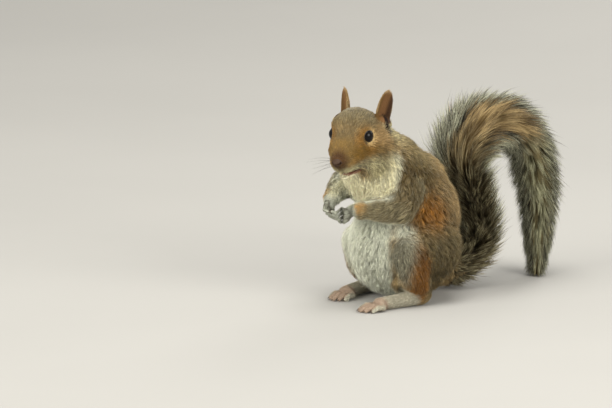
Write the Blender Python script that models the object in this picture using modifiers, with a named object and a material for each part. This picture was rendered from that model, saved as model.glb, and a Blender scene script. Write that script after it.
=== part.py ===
"""An eastern grey squirrel sitting up on its haunches, forepaws held together at the chest.

Life size, in metres, +Z up. It faces -Y, its left side is at +X, and it sits on the floor at z = 0.
The solids have the outline of the coat. The body is modelled whole from rounded masses, blended by a
voxel remesh, and then parted by flat cuts into the parts a person would name.
"""

import math

import bmesh
import bpy
from mathutils import Matrix, Vector

MM = 0.001
GAP = 0.35 * MM  # clear space between neighbouring solids
SIDES = {"left": 1, "right": -1}

# ---- driving dimensions, in millimetres ---------------------------------------------------------
EYE_LEVEL = 138.0  # height of the eyes above the floor
EYE_SPREAD = 14.2  # from the middle of the head to the centre of an eyeball
EYE_RADIUS = 5.6
HEAD_CENTRE = (3.0, -58.0, EYE_LEVEL)  # midway between the eyeballs
HEAD_TURN = 29.0  # degrees to its own left
HEAD_NOD = 10.0  # degrees down
MOUTH_CENTRE = (0, -16.5, -25.6)  # in the head's own frame
MOUTH_RADII = (12, 12, 2.1)
BODY_VOXEL = 1.6
LIMB_VOXEL = 1.0
EARS = {  # foot and tip, in the head's own frame
    "left": ((17.5, 22, 1), (23.5, 29, 28.5)),
    "right": ((-14.5, 22, 1), (-14.5, 29, 28.5)),
}
EAR_TURN = math.radians(50)  # from straight ahead to the way the ear opens
EAR_HALF_WIDTH = 6.6
EAR_THICKNESS = 1.5
EAR_ROWS, EAR_COLUMNS = 6, 4
FINGER_LENGTH = 8.8
CLAW_LENGTH = 4.2
CLAW_RADIUS = 0.95
HAUNCH_INSIDE = 27.0  # where the cut beside a thigh meets the floor
HAUNCH_LEAN = math.radians(16)

# The tail's middle line, from inside the rump to the tip, with the half-width across and the
# half-thickness fore and aft of the coat at each point.
TAIL = (
    ((0, 34, 17), 14, 14),
    ((0, 56, 17), 23, 18),
    ((0, 77, 33), 29, 21),
    ((0, 78, 60), 31, 21),
    ((0, 67, 90), 34, 23),
    ((0, 63, 112), 41, 27),
    ((0, 79, 131), 42, 28),
    ((0, 108, 131), 39, 26),
    ((0, 133, 111), 34, 22),
    ((0, 142, 82), 29, 20),
    ((3, 143, 54), 24, 16),
    ((6, 140, 28), 18, 12),
    ((9, 136, -1), 8, 7),
)
# Each length of the tail, and the point of the line at which it ends.
TAIL_NODES = (
    ("tail_root", 2),
    ("tail_rise", 4),
    ("tail_crook", 6),
    ("tail_arch", 8),
    ("tail_fall", 10),
    ("tail_tip", 12),
)
RINGS_PER_POINT = 2
TAIL_SIDES = 16


# ---- small tools --------------------------------------------------------------------------------
def clear_scene():
    for obj in list(bpy.data.objects):
        bpy.data.objects.remove(obj)


def material(name, colour, roughness):
    made = bpy.data.materials.new(name)
    made.use_nodes = True
    shader = made.node_tree.nodes["Principled BSDF"]
    shader.inputs["Base Color"].default_value = (*colour, 1)
    shader.inputs["Roughness"].default_value = roughness
    return made


def new_object(name, bm, collection):
    mesh = bpy.data.meshes.new(name)
    bm.to_mesh(mesh)
    bm.free()
    obj = bpy.data.objects.new(name, mesh)
    collection.objects.link(obj)
    return obj


def frame_of(centre, forward, left):
    """A matrix whose +X is left, +Y is backward and +Z is up, at a point."""
    back = -Vector(forward).normalized()
    across = (Vector(left) - back * Vector(left).dot(back)).normalized()
    up = across.cross(back)
    turn = Matrix((across, back, up)).transposed().to_4x4()
    return Matrix.Translation(centre) @ turn


def add_ball(bm, frame, centre, radii, segments=28, rings=18):
    """An ellipsoid, in millimetres, in a frame."""
    place = frame @ Matrix.Translation(Vector(centre)) @ Matrix.Diagonal((*radii, 1))
    bmesh.ops.create_uvsphere(bm, u_segments=segments, v_segments=rings, radius=1, matrix=place)


def add_chain(bm, frame, points):
    """Balls joined by cones along a limb: points are (x, y, z, radius)."""
    for x, y, z, radius in points:
        add_ball(bm, frame, (x, y, z), (radius,) * 3)
    for first, second in zip(points, points[1:]):
        start, end = Vector(first[:3]), Vector(second[:3])
        along = end - start
        if along.length < 0.01:
            continue
        turn = along.to_track_quat("Z", "Y").to_matrix().to_4x4()
        bmesh.ops.create_cone(
            bm, cap_ends=True, segments=24, radius1=first[3], radius2=second[3],
            depth=along.length, matrix=frame @ Matrix.Translation((start + end) / 2) @ turn,
        )


def baked(obj):
    """Replaces an object's mesh by what its modifiers make of it."""
    graph = bpy.context.evaluated_depsgraph_get()
    mesh = bpy.data.meshes.new_from_object(obj.evaluated_get(graph))
    obj.modifiers.clear()
    obj.data = mesh
    return obj


def blended(name, bm, collection, voxel, smoothing, triangles):
    """Rounded masses in millimetres, joined into one smooth closed surface, in metres."""
    bmesh.ops.scale(bm, verts=bm.verts, vec=(MM, MM, MM))
    obj = new_object(name, bm, collection)
    remesh = obj.modifiers.new("join", "REMESH")
    remesh.mode = "VOXEL"
    remesh.voxel_size = voxel * MM
    smooth = obj.modifiers.new("blend", "SMOOTH")
    smooth.factor = 0.5
    smooth.iterations = smoothing
    baked(obj)
    faces = sum(len(p.vertices) - 2 for p in obj.data.polygons)
    fewer = obj.modifiers.new("fewer", "DECIMATE")
    fewer.ratio = min(1.0, triangles / faces)
    fewer.use_collapse_triangulate = True
    return baked(obj)


def boolean(obj, other, operation):
    cut = obj.modifiers.new(operation.lower(), "BOOLEAN")
    cut.operation = operation
    cut.object = other
    baked(obj)
    return obj


def half_space(point, normal, collection, size=600.0):
    """A big box whose face passes through a point and which fills the side the normal points to."""
    bm = bmesh.new()
    turn = Vector(normal).to_track_quat("Z", "Y").to_matrix().to_4x4()
    place = Matrix.Translation(Vector(point)) @ turn @ Matrix.Translation((0, 0, size / 2))
    bmesh.ops.create_cube(bm, size=size, matrix=place)
    bmesh.ops.scale(bm, verts=bm.verts, vec=(MM, MM, MM))
    return new_object("half", bm, collection)


def split(obj, near, far, point, normal, collection):
    """Parts an object by a plane, with a gap. The normal points to the far piece."""
    step = Vector(normal).normalized() * (GAP / MM / 2)
    other = obj.copy()
    other.data = obj.data.copy()
    collection.objects.link(other)
    beyond = half_space(Vector(point) - step, normal, collection)
    boolean(obj, beyond, "DIFFERENCE")
    before = half_space(Vector(point) + step, -Vector(normal), collection)
    boolean(other, before, "DIFFERENCE")
    for cutter in (beyond, before):
        bpy.data.objects.remove(cutter)
    obj.name, other.name = near, far
    return obj, other


def swollen(obj, collection, by=GAP):
    """A copy of a solid, grown along its normals, to cut clearance from a neighbour."""
    grown = obj.copy()
    grown.data = obj.data.copy()
    collection.objects.link(grown)
    normals = [v.normal.copy() for v in grown.data.vertices]
    for vertex, normal in zip(grown.data.vertices, normals):
        vertex.co += normal * by
    return grown


def clear_of(obj, others, collection, by=GAP):
    """Trims an object to leave a gap to each of the others."""
    for other in others:
        grown = swollen(other, collection, by)
        boolean(obj, grown, "DIFFERENCE")
        bpy.data.objects.remove(grown)
    return obj


def largest_piece(obj):
    """Drops the crumbs that a cut can leave beside the main body."""
    bm = bmesh.new()
    bm.from_mesh(obj.data)
    seen, groups = set(), []
    for vertex in bm.verts:
        if vertex in seen:
            continue
        stack, group = [vertex], []
        seen.add(vertex)
        while stack:
            here = stack.pop()
            group.append(here)
            for edge in here.link_edges:
                there = edge.other_vert(here)
                if there not in seen:
                    seen.add(there)
                    stack.append(there)
        groups.append(group)
    groups.sort(key=len)
    for crumb in groups[:-1]:
        bmesh.ops.delete(bm, geom=crumb, context="VERTS")
    bm.to_mesh(obj.data)
    bm.free()
    return obj


# ---- the body ------------------------------------------------------------------------------------
HEAD_FORWARD = Vector(
    (
        math.sin(math.radians(HEAD_TURN)) * math.cos(math.radians(HEAD_NOD)),
        -math.cos(math.radians(HEAD_TURN)) * math.cos(math.radians(HEAD_NOD)),
        -math.sin(math.radians(HEAD_NOD)),
    )
)
HEAD_LEFT = Vector((math.cos(math.radians(HEAD_TURN)), math.sin(math.radians(HEAD_TURN)), 0))
HEAD = frame_of(HEAD_CENTRE, HEAD_FORWARD, HEAD_LEFT)
WORLD = Matrix.Identity(4)


def add_head(bm):
    """Skull, muzzle, cheeks and jaw, in the head's own frame: +X left, +Y backward, +Z up."""
    add_ball(bm, HEAD, (0, 11, 1), (18.6, 23, 17.5))  # braincase
    add_chain(bm, HEAD, [(0, -1, -5, 15.5), (0, -12, -8.5, 13.2), (0, -22.5, -12, 9.4)])  # muzzle
    add_ball(bm, HEAD, (0, -28, -12), (7, 6, 6.2))  # tip of the nose
    add_chain(bm, HEAD, [(0, 6, -18, 15), (0, -8, -22, 11), (0, -16.5, -27.8, 6.2)])  # jaw
    for side in SIDES.values():
        add_ball(bm, HEAD, (9 * side, 9.5, -10.5), (12, 18, 15.5))  # cheek
        add_ball(bm, HEAD, (7.5 * side, -9, -10), (8.5, 11, 9))  # under the eye
        add_ball(bm, HEAD, (10 * side, 3, 8), (7, 10, 6))  # brow
        add_ball(bm, HEAD, (5 * side, -19, -15.5), (6.4, 8.6, 6.8))  # whisker pad
        add_ball(bm, HEAD, (4 * side, -22, -19), (5, 6, 5.2))  # upper lip
        add_ball(bm, HEAD, (17 * side, 26, -2), (9, 9, 11))  # ruff behind the ear


def add_neck(bm):
    add_chain(bm, WORLD, [(0, -18, 104, 33), (-2, -31, 118, 28), (-4, -37, 130, 22)])
    add_ball(bm, WORLD, (2, -46, 110), (20, 18, 22))  # throat


def add_trunk(bm):
    add_ball(bm, WORLD, (0, -3, 44), (40, 44, 45))  # belly
    add_ball(bm, WORLD, (0, 7, 40), (40, 37, 42))  # rump
    add_ball(bm, WORLD, (0, 6, 66), (39, 45, 42))  # loins
    add_ball(bm, WORLD, (0, -5, 92), (33, 45, 31))  # chest and withers
    for side in SIDES.values():
        add_ball(bm, WORLD, (18 * side, -16, 97), (16, 23, 23))  # shoulder


# Heel, middle and ball of each hind foot.
FEET = {
    "left": ((34, -12, 7.5), (31, -32, 5.5), (29, -50, 5)),
    "right": ((-33, -3, 7.5), (-28, -22, 5.5), (-24, -39, 5)),
}


def add_haunch(bm, side_name):
    """The folded hind leg: thigh from hip to knee, and shank from knee to heel."""
    side = SIDES[side_name]
    heel = Vector(FEET[side_name][0])
    knee = Vector((34 * side, heel.y * 0.5 - 17, 43))
    middle = (knee + heel) / 2 + Vector((2 * side, -3, -1))
    add_chain(bm, WORLD, [(21 * side, 10, 42, 27), (28 * side, -6, 42, 23), (*knee, 14.5)])
    add_chain(bm, WORLD, [(*knee, 14), (*middle, 13), (heel.x, heel.y + 1, 10, 10)])


def above_floor(obj, collection):
    below = half_space((0, 0, 0), (0, 0, -1), collection)
    boolean(obj, below, "DIFFERENCE")
    bpy.data.objects.remove(below)
    return obj


def body_form(collection):
    bm = bmesh.new()
    add_head(bm)
    add_neck(bm)
    add_trunk(bm)
    for side_name in SIDES:
        add_haunch(bm, side_name)
    body = blended("body", bm, collection, BODY_VOXEL, 10, 2300)
    return above_floor(body, collection)


def mouth_cut(collection):
    """A lens that parts the lips, round the front of the lower jaw."""
    bm = bmesh.new()
    add_ball(bm, HEAD, MOUTH_CENTRE, MOUTH_RADII, 16, 8)
    bmesh.ops.scale(bm, verts=bm.verts, vec=(MM, MM, MM))
    return new_object("mouth_cut", bm, collection)


def add_digit(bm, start, along, curl, length, radius):
    """One finger or toe of two bones, bending towards curl. Returns its end and last direction."""
    start, along, curl = Vector(start), Vector(along).normalized(), Vector(curl).normalized()
    joint = start + along * (length * 0.55)
    last = (along * 0.55 + curl * 0.85).normalized()
    tip = joint + last * (length * 0.45)
    add_chain(bm, WORLD, [(*start, radius * 1.15), (*joint, radius), (*tip, radius * 0.75)])
    return tip, (last + curl * 0.3).normalized()


def with_claws(limb, ends, collection):
    """Joins a short tapered claw to the end of each digit."""
    bm = bmesh.new()
    for tip, along in ends:
        turn = along.to_track_quat("Z", "Y").to_matrix().to_4x4()
        middle = tip + along * (CLAW_LENGTH / 2)
        bmesh.ops.create_cone(
            bm, cap_ends=True, segments=5, radius1=CLAW_RADIUS, radius2=CLAW_RADIUS * 0.25,
            depth=CLAW_LENGTH, matrix=Matrix.Translation(middle) @ turn,
        )
    bmesh.ops.scale(bm, verts=bm.verts, vec=(MM, MM, MM))
    claws = new_object("claws", bm, collection)
    boolean(limb, claws, "UNION")
    bpy.data.objects.remove(claws)
    return limb


SHOULDER = {"left": (21, -18, 93), "right": (-21, -18, 93)}
# The joints of each arm: elbow, wrist, the way the paw reaches and the way its fingers spread.
ARMS = {
    "left": ((33, -31, 78), (10.5, -62, 79), (-0.55, -0.55, -0.45), (0.25, -0.45, 0.85)),
    "right": ((-33, -34, 92), (-16, -63, 83.5), (0.42, -0.48, -0.74), (0.1, -0.8, 0.6)),
}


def arm_form(side_name, collection):
    """Upper arm, forearm and paw, with four fingers curled in towards the other paw."""
    side = SIDES[side_name]
    elbow, wrist, reach, spread = (Vector(v) for v in ARMS[side_name])
    reach.normalize()
    across = (spread - reach * spread.dot(reach)).normalized()
    curl = across.cross(reach)
    if curl.x * side > 0:
        curl = -curl
    shoulder = Vector(SHOULDER[side_name])
    palm = wrist + reach * 5
    half_way = (elbow + wrist) / 2
    bm = bmesh.new()
    add_chain(bm, WORLD, [(*shoulder, 18), (*elbow, 12), (*half_way, 9.5), (*wrist, 5.8), (*palm, 5)])
    ends = []
    for finger in range(4):
        offset = across * ((finger - 1.5) * 3.8)
        knuckle = palm + reach * 3 + offset
        add_chain(bm, WORLD, [(*(palm + offset * 0.6), 3), (*knuckle, 2.5)])
        ends.append(add_digit(bm, knuckle, reach, curl, FINGER_LENGTH, 2.2))
    arm = blended("arm_" + side_name, bm, collection, LIMB_VOXEL, 3, 560)
    return with_claws(arm, ends, collection)


def foot_form(side_name, collection):
    """A hind foot flat on the floor, with five toes."""
    heel, middle, ball = (Vector(v) for v in FEET[side_name])
    ahead = (ball - heel).normalized()
    ahead.z = 0
    sideways = ahead.cross(Vector((0, 0, 1))).normalized()
    bm = bmesh.new()
    add_chain(bm, WORLD, [(*heel, 8), (*middle, 6.5), (*ball, 6.5)])
    ends = []
    for toe in range(5):
        offset = toe - 2
        start = ball + ahead * (2 - abs(offset) * 0.8) + sideways * (offset * 3.6)
        start.z = 4.0
        along = ahead + sideways * (offset * 0.07) + Vector((0, 0, 0.1))
        ends.append(add_digit(bm, start, along, ahead + Vector((0, 0, -0.9)), 16 - abs(offset), 2.4))
    foot = blended("foot_" + side_name, bm, collection, LIMB_VOXEL, 3, 380)
    with_claws(foot, [(Vector((p.x, p.y, max(p.z, 1.6))), Vector((d.x, d.y, -0.1))) for p, d in ends],
               collection)
    return above_floor(foot, collection)


def ear_form(side_name, collection):
    """A cupped leaf, open outwards and forwards, with its foot sunk in the head."""
    side = SIDES[side_name]
    foot, tip = (Vector(v) for v in EARS[side_name])
    rise = tip - foot
    opening = Vector((math.sin(EAR_TURN) * side, -math.cos(EAR_TURN), 0))
    up = rise.normalized()
    opening = (opening - up * opening.dot(up)).normalized()
    sideways = up.cross(opening)
    bm = bmesh.new()
    rows = []
    for j in range(EAR_ROWS + 1):
        v = j / EAR_ROWS
        half = EAR_HALF_WIDTH * (0.8 + 0.5 * v) * (1 - v ** 2.6) ** 0.6 + 0.5
        wrap = math.radians(100 - 45 * v)
        radius = half / math.sin(min(wrap, math.pi / 2))
        row = []
        for i in range(EAR_COLUMNS + 1):
            turn = wrap * (2 * i / EAR_COLUMNS - 1)
            place = foot + rise * v + sideways * (radius * math.sin(turn))
            place -= opening * (radius * (math.cos(turn) - math.cos(wrap)) * 0.8)
            row.append(bm.verts.new(HEAD @ place * MM))
        rows.append(row)
    for first, second in zip(rows, rows[1:]):
        for a, b, c, d in zip(first, first[1:], second[1:], second):
            bm.faces.new((a, b, c, d))
    ear = new_object("ear_" + side_name, bm, collection)
    shell = ear.modifiers.new("thickness", "SOLIDIFY")
    shell.thickness = EAR_THICKNESS * MM
    shell.offset = 0
    baked(ear)
    return ear


def smooth_line(points, per_point):
    """A smooth curve through points: Catmull-Rom."""
    sampled = []
    last = len(points) - 1
    for i in range(last * per_point + 1):
        k = min(i // per_point, last - 1)
        t = i / per_point - k
        before = points[max(k - 1, 0)]
        after = points[min(k + 2, last)]
        first, second = points[k], points[k + 1]
        sampled.append(
            0.5 * (
                2 * first + (second - before) * t
                + (2 * before - 5 * first + 4 * second - after) * t * t
                + (3 * first - before - 3 * second + after) * t ** 3
            )
        )
    return sampled


def loft(name, rings, collection):
    """A closed solid through rings of points."""
    bm = bmesh.new()
    loops = [[bm.verts.new(p * MM) for p in ring] for ring in rings]
    for first, second in zip(loops, loops[1:]):
        for a, b, c, d in zip(first, first[1:] + first[:1], second[1:] + second[:1], second):
            bm.faces.new((a, b, c, d))
    bm.faces.new(loops[0])
    bm.faces.new(loops[-1])
    bmesh.ops.recalc_face_normals(bm, faces=bm.faces)
    return new_object(name, bm, collection)


def tail_forms(collection):
    """The tail in lengths, each a loft of ellipses along the tail's middle line."""
    line = smooth_line([Vector(p) for p, _, _ in TAIL], RINGS_PER_POINT)
    sizes = smooth_line([Vector((w, t)) for _, w, t in TAIL], RINGS_PER_POINT)
    across = Vector((1, 0, 0))
    rings = []
    for i, centre in enumerate(line):
        along = (line[min(i + 1, len(line) - 1)] - line[max(i - 1, 0)]).normalized()
        out = along.cross(across).normalized()
        turns = [2 * math.pi * k / TAIL_SIDES for k in range(TAIL_SIDES)]
        ring = [
            centre + across * (math.cos(t) * sizes[i].x) + out * (math.sin(t) * sizes[i].y)
            for t in turns
        ]
        rings.append((ring, along))
    lengths, first = [], 0
    for name, end in TAIL_NODES:
        last = end * RINGS_PER_POINT
        chosen = [ring for ring, _ in rings[first:last + 1]]
        if first:
            chosen[0] = [p + rings[first][1] * (GAP / MM) for p in chosen[0]]
        lengths.append(above_floor(loft(name, chosen, collection), collection))
        first = last
    return lengths


def eye_form(side_name, collection):
    bm = bmesh.new()
    centre = HEAD @ Vector((EYE_SPREAD * SIDES[side_name], 0, 0))
    place = Matrix.Translation(centre * MM)
    bmesh.ops.create_uvsphere(bm, u_segments=14, v_segments=8, radius=EYE_RADIUS * MM, matrix=place)
    return new_object("eye_" + side_name, bm, collection)


def nose_form(collection):
    bm = bmesh.new()
    place = HEAD @ Matrix.Translation((0, -32.5, -11.5)) @ Matrix.Diagonal((4.0, 3.2, 3.4, 1))
    bmesh.ops.create_uvsphere(bm, u_segments=10, v_segments=6, radius=1, matrix=place)
    bmesh.ops.scale(bm, verts=bm.verts, vec=(MM, MM, MM))
    return new_object("nose", bm, collection)


# ---- parting the body ----------------------------------------------------------------------------
def part_body(body, collection):
    """Cuts the body into head, neck, trunk, and a thigh and a shank on each side."""
    trunk, upper = split(body, "trunk", "neck", (0, -28, 112), (0, -0.45, 0.9), collection)
    split(upper, "neck", "head", (-2, -41, 125), (0.12, -0.6, 0.79), collection)
    for side_name, side in SIDES.items():
        outward = Vector((math.cos(HAUNCH_LEAN) * side, 0, -math.sin(HAUNCH_LEAN)))
        _, haunch = split(
            trunk, "trunk", "thigh_" + side_name, (HAUNCH_INSIDE * side, 0, 0), outward, collection
        )
        split(
            haunch, "thigh_" + side_name, "shank_" + side_name, (0, -10, 30), (0, -0.95, -0.3),
            collection,
        )


def part_arm(arm, side_name, collection):
    """Cuts an arm into upper arm, forearm and hand."""
    elbow, wrist, reach, _ = (Vector(v) for v in ARMS[side_name])
    shoulder = Vector(SHOULDER[side_name])
    bend = ((elbow - shoulder).normalized() + (wrist - elbow).normalized()).normalized()
    _, lower = split(arm, "upper_arm_" + side_name, "forearm", elbow, bend, collection)
    across = ((wrist - elbow).normalized() + reach.normalized()).normalized()
    split(lower, "forearm_" + side_name, "hand_" + side_name, wrist, across, collection)


COLOURS = {
    "head": (0.36, 0.22, 0.11),
    "neck": (0.42, 0.36, 0.29),
    "trunk": (0.33, 0.26, 0.19),
    "ear": (0.28, 0.13, 0.08),
    "thigh": (0.30, 0.25, 0.19),
    "shank": (0.42, 0.19, 0.08),
    "foot": (0.52, 0.47, 0.41),
    "upper": (0.30, 0.25, 0.20),
    "forearm": (0.33, 0.29, 0.24),
    "hand": (0.45, 0.42, 0.38),
    "tail": (0.29, 0.25, 0.20),
    "eye": (0.010, 0.008, 0.007),
    "nose": (0.10, 0.045, 0.035),
}


def paint(collection):
    for obj in collection.objects:
        kind = obj.name.split("_")[0]
        roughness = {"eye": 0.05, "nose": 0.45}.get(kind, 0.85)
        obj.data.materials.clear()
        obj.data.materials.append(material(obj.name, COLOURS[kind], roughness))
        obj.data.polygons.foreach_set("material_index", [0] * len(obj.data.polygons))
        obj.data.shade_smooth()
        obj.data.set_sharp_from_angle(angle=math.radians(50))


def box_of(collection):
    corners = [v.co for obj in collection.objects for v in obj.data.vertices]
    low = Vector([min(c[i] for c in corners) for i in range(3)])
    high = Vector([max(c[i] for c in corners) for i in range(3)])
    return low, high


def main():
    """Builds the squirrel, and moves it so that the middle of its base is at the origin."""
    clear_scene()
    squirrel = bpy.data.collections.new("squirrel")
    bpy.context.scene.collection.children.link(squirrel)

    eyes = [eye_form(name, squirrel) for name in SIDES]
    nose = nose_form(squirrel)
    body = body_form(squirrel)
    mouth = mouth_cut(squirrel)
    boolean(body, mouth, "DIFFERENCE")
    bpy.data.objects.remove(mouth)
    clear_of(body, eyes + [nose], squirrel)

    for name in SIDES:
        largest_piece(clear_of(ear_form(name, squirrel), [body], squirrel))
    arms = {name: clear_of(arm_form(name, squirrel), [body], squirrel) for name in SIDES}
    clear_of(arms["right"], [arms["left"]], squirrel)
    for name, arm in arms.items():
        part_arm(largest_piece(arm), name, squirrel)
    for name in SIDES:
        largest_piece(clear_of(foot_form(name, squirrel), [body], squirrel))
    for length in tail_forms(squirrel)[:4]:
        largest_piece(clear_of(length, [body], squirrel))
    part_body(largest_piece(body), squirrel)
    paint(squirrel)

    low, high = box_of(squirrel)
    shift = Vector((-(low.x + high.x) / 2, -(low.y + high.y) / 2, -low.z))
    for obj in squirrel.objects:
        obj.data.transform(Matrix.Translation(shift))
    return shift


SHIFT = main()
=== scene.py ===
"""The looks of the squirrel: one skin inside the solids, and a coat of solid tufts over it.

Lengths in tables are in millimetres. Design coordinates are those of the part's own source, before it is
moved over its origin; head coordinates have their origin midway between the eyes, +X to the animal's left,
+Y backward and +Z up.
"""

import math

import bmesh
import bpy
import numpy as np
from mathutils import Matrix, Vector, noise
from mathutils.bvhtree import BVHTree
from mathutils.kdtree import KDTree


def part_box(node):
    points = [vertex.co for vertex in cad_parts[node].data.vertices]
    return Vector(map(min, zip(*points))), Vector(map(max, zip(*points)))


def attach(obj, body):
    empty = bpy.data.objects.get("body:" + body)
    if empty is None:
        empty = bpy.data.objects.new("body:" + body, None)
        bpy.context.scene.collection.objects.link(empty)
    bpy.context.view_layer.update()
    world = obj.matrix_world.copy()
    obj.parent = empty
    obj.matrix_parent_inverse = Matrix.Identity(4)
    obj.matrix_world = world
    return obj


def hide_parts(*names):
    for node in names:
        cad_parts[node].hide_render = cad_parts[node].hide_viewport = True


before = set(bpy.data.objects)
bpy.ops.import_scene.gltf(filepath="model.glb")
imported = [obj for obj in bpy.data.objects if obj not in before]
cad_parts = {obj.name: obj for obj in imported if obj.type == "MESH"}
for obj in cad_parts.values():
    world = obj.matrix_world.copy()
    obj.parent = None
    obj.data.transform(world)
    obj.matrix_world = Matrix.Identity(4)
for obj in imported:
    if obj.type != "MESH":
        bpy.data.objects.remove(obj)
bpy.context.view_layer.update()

MM = 0.001
SIDES = {"left": 1, "right": -1}
rng = np.random.default_rng(11)


# ---- numbers ----
def unit(v):
    return v / np.maximum(np.linalg.norm(v, axis=-1, keepdims=True), 1e-12)


def norm(rows):
    return np.linalg.norm(rows, axis=1)


def ramp(low, high, x):
    """A smooth step from 0 at low to 1 at high."""
    t = np.clip((x - low) / (high - low), 0, 1)
    return t * t * (3 - 2 * t)


def fade(low, high, x):
    """A smooth step from 1 at low to 0 at high."""
    return 1 - ramp(low, high, x)


def mixed(a, b, t):
    return a + (b - a) * t


def vectors(*rows):
    return [np.array(row, float) for row in rows]


def folded(points):
    """Points with the animal's right side laid over its left."""
    return np.abs(points) * (1, 0, 0) + points * (0, 1, 1)


def distance_to(points, start, end):
    """How far points are from a straight line between two points."""
    line = end - start
    t = np.clip((points - start) @ line / max(line @ line, 1e-12), 0, 1)
    return norm(points - start - t[:, None] * line)


def out_of(points, centre, radii):
    """How far out points are from an ellipsoid's middle, where 1 is its surface."""
    return norm((points - np.array(centre)) / np.array(radii))


def nearest(places, points):
    """Which of some places is nearest to each point, and how far off it is."""
    tree = KDTree(len(places))
    for i, place in enumerate(places.tolist()):
        tree.insert(place, i)
    tree.balance()
    found = [tree.find(point)[1:] for point in points.tolist()]
    return np.array([i for i, _ in found]), np.array([far for _, far in found])


def smooth_line(points, per_point):
    """Catmull-Rom through rows of numbers."""
    points = np.asarray(points, float)
    last = len(points) - 1
    at = np.arange(last * per_point + 1) / per_point
    k = np.minimum(at.astype(int), last - 1)
    t = (at - k)[:, None]
    a, b = points[np.maximum(k - 1, 0)], points[k]
    c, d = points[k + 1], points[np.minimum(k + 2, last)]
    return 0.5 * (2 * b + (c - a) * t + (2 * a - 5 * b + 4 * c - d) * t**2 + (3 * b - a - 3 * c + d) * t**3)


def wander(points, scale, seed):
    """Smooth noise from -1 to 1 at points, one value each."""
    shift = Vector((seed * 17.3, seed * 5.1, seed * 9.7))
    return np.array([noise.noise(Vector(p) / scale + shift) for p in points.tolist()])


def turned(v, axis, angle):
    """Vectors turned about unit axes."""
    c, s = np.cos(angle)[:, None], np.sin(angle)[:, None]
    return v * c + np.cross(axis, v) * s + axis * (axis * v).sum(1)[:, None] * (1 - c)


# ---- where things are ----
def middle_of(node):
    low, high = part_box(node)
    return (low + high) / 2


EYE_DESIGN = Vector((3, -58, 138))  # midway between the eyeballs, in design coordinates
EYE_RADIUS = 5.6
NOSE_DROP = math.atan2(11.5, 32.5)  # the nose lies this far below the head's level line
EYES = {name: middle_of("eye_" + name) for name in SIDES}
MID_EYES = (EYES["left"] + EYES["right"]) / 2
ORIGIN = MID_EYES - EYE_DESIGN * MM


def head_axes():
    left = (EYES["left"] - EYES["right"]).normalized()
    to_nose = middle_of("nose") - MID_EYES
    to_nose = (to_nose - left * to_nose.dot(left)).normalized()
    over = to_nose.cross(left)
    if over.z < 0:
        over = -over
    forward = to_nose * math.cos(NOSE_DROP) + over * math.sin(NOSE_DROP)
    return left, -forward, left.cross(-forward)


HEAD_AXES = np.array([list(a) for a in head_axes()])  # rows: left, back, up
HEAD_BACK = HEAD_AXES[1]


def design(points):
    """Design coordinates in millimetres to metres in the row frame."""
    return np.asarray(points, float) * MM + np.array(ORIGIN)


def from_head(points):
    """Head coordinates in millimetres to metres in the row frame."""
    return np.asarray(points, float) @ HEAD_AXES * MM + np.array(MID_EYES)


def to_design(points):
    return (np.asarray(points, float) - np.array(ORIGIN)) / MM


def to_head(points):
    return (np.asarray(points, float) - np.array(MID_EYES)) @ HEAD_AXES.T / MM


# ---- the tail's line ----
# Points along the middle of the tail, with the coat's half-width across and half-thickness.
TAIL = (
    (0, 34, 17, 14, 14),
    (0, 56, 17, 23, 18),
    (0, 77, 33, 29, 21),
    (0, 78, 60, 31, 21),
    (0, 67, 90, 34, 23),
    (0, 63, 112, 41, 27),
    (0, 79, 131, 42, 28),
    (0, 108, 131, 39, 26),
    (0, 133, 111, 34, 22),
    (0, 142, 82, 29, 20),
    (3, 143, 54, 24, 16),
    (6, 140, 28, 18, 12),
    (9, 136, -1, 8, 7),
)
TAIL_STEPS = 16  # samples between two points of the tail's line
ACROSS = np.array((1.0, 0.0, 0.0))  # the tail bends only about this direction


class Tail:
    """The tail's line in the row frame, in metres, sampled finely, with its section at each sample."""

    def __init__(self):
        rows = smooth_line(TAIL, TAIL_STEPS)
        self.line = design(rows[:, :3])
        self.half = rows[:, 3:] * MM
        self.along = unit(np.gradient(self.line, axis=0))
        self.out = unit(np.cross(ACROSS, self.along))
        self.out = -self.out if self.out[len(self.out) // 2, 2] < 0 else self.out
        self.reach = np.concatenate([[0], np.cumsum(norm(np.diff(self.line, axis=0)))])
        self.length = self.reach[-1]

    def at(self, s):
        """Point, way along, way out and half sizes at distances s along the line."""
        found = []
        for rows in (self.line, self.along, self.out, self.half):
            found.append(np.stack([np.interp(s, self.reach, c) for c in rows.T], -1))
        found[0] = found[0] + found[1] * np.maximum(s - self.length, 0)[..., None]
        return found


tail = Tail()


def core_radius(s):
    """The bare tail's radius at a distance along it."""
    return np.interp(s / tail.length, (0, 0.12, 0.35, 0.7, 0.92, 1), (10, 7.5, 5.5, 4, 2.5, 1.2)) * MM


# ---- meshes ----
def linked(name, data):
    obj = bpy.data.objects.new(name, data)
    bpy.context.scene.collection.objects.link(obj)
    return obj


def mesh_object(name, points, faces):
    """A mesh object from arrays: faces all have the same number of corners."""
    mesh = bpy.data.meshes.new(name)
    mesh.vertices.add(len(points))
    mesh.vertices.foreach_set("co", points.astype(np.float32).ravel())
    mesh.loops.add(faces.size)
    mesh.loops.foreach_set("vertex_index", faces.astype(np.int32).ravel())
    mesh.polygons.add(len(faces))
    mesh.polygons.foreach_set("loop_start", np.arange(0, faces.size, faces.shape[1], dtype=np.int32))
    mesh.update(calc_edges=True)
    return linked(name, mesh)


def bm_object(name, bm):
    mesh = bpy.data.meshes.new(name)
    bm.to_mesh(mesh)
    bm.free()
    return linked(name, mesh)


def baked(obj):
    """The object with its modifiers applied."""
    graph = bpy.context.evaluated_depsgraph_get()
    mesh = bpy.data.meshes.new_from_object(obj.evaluated_get(graph))
    obj.modifiers.clear()
    obj.data = mesh
    return obj


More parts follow.
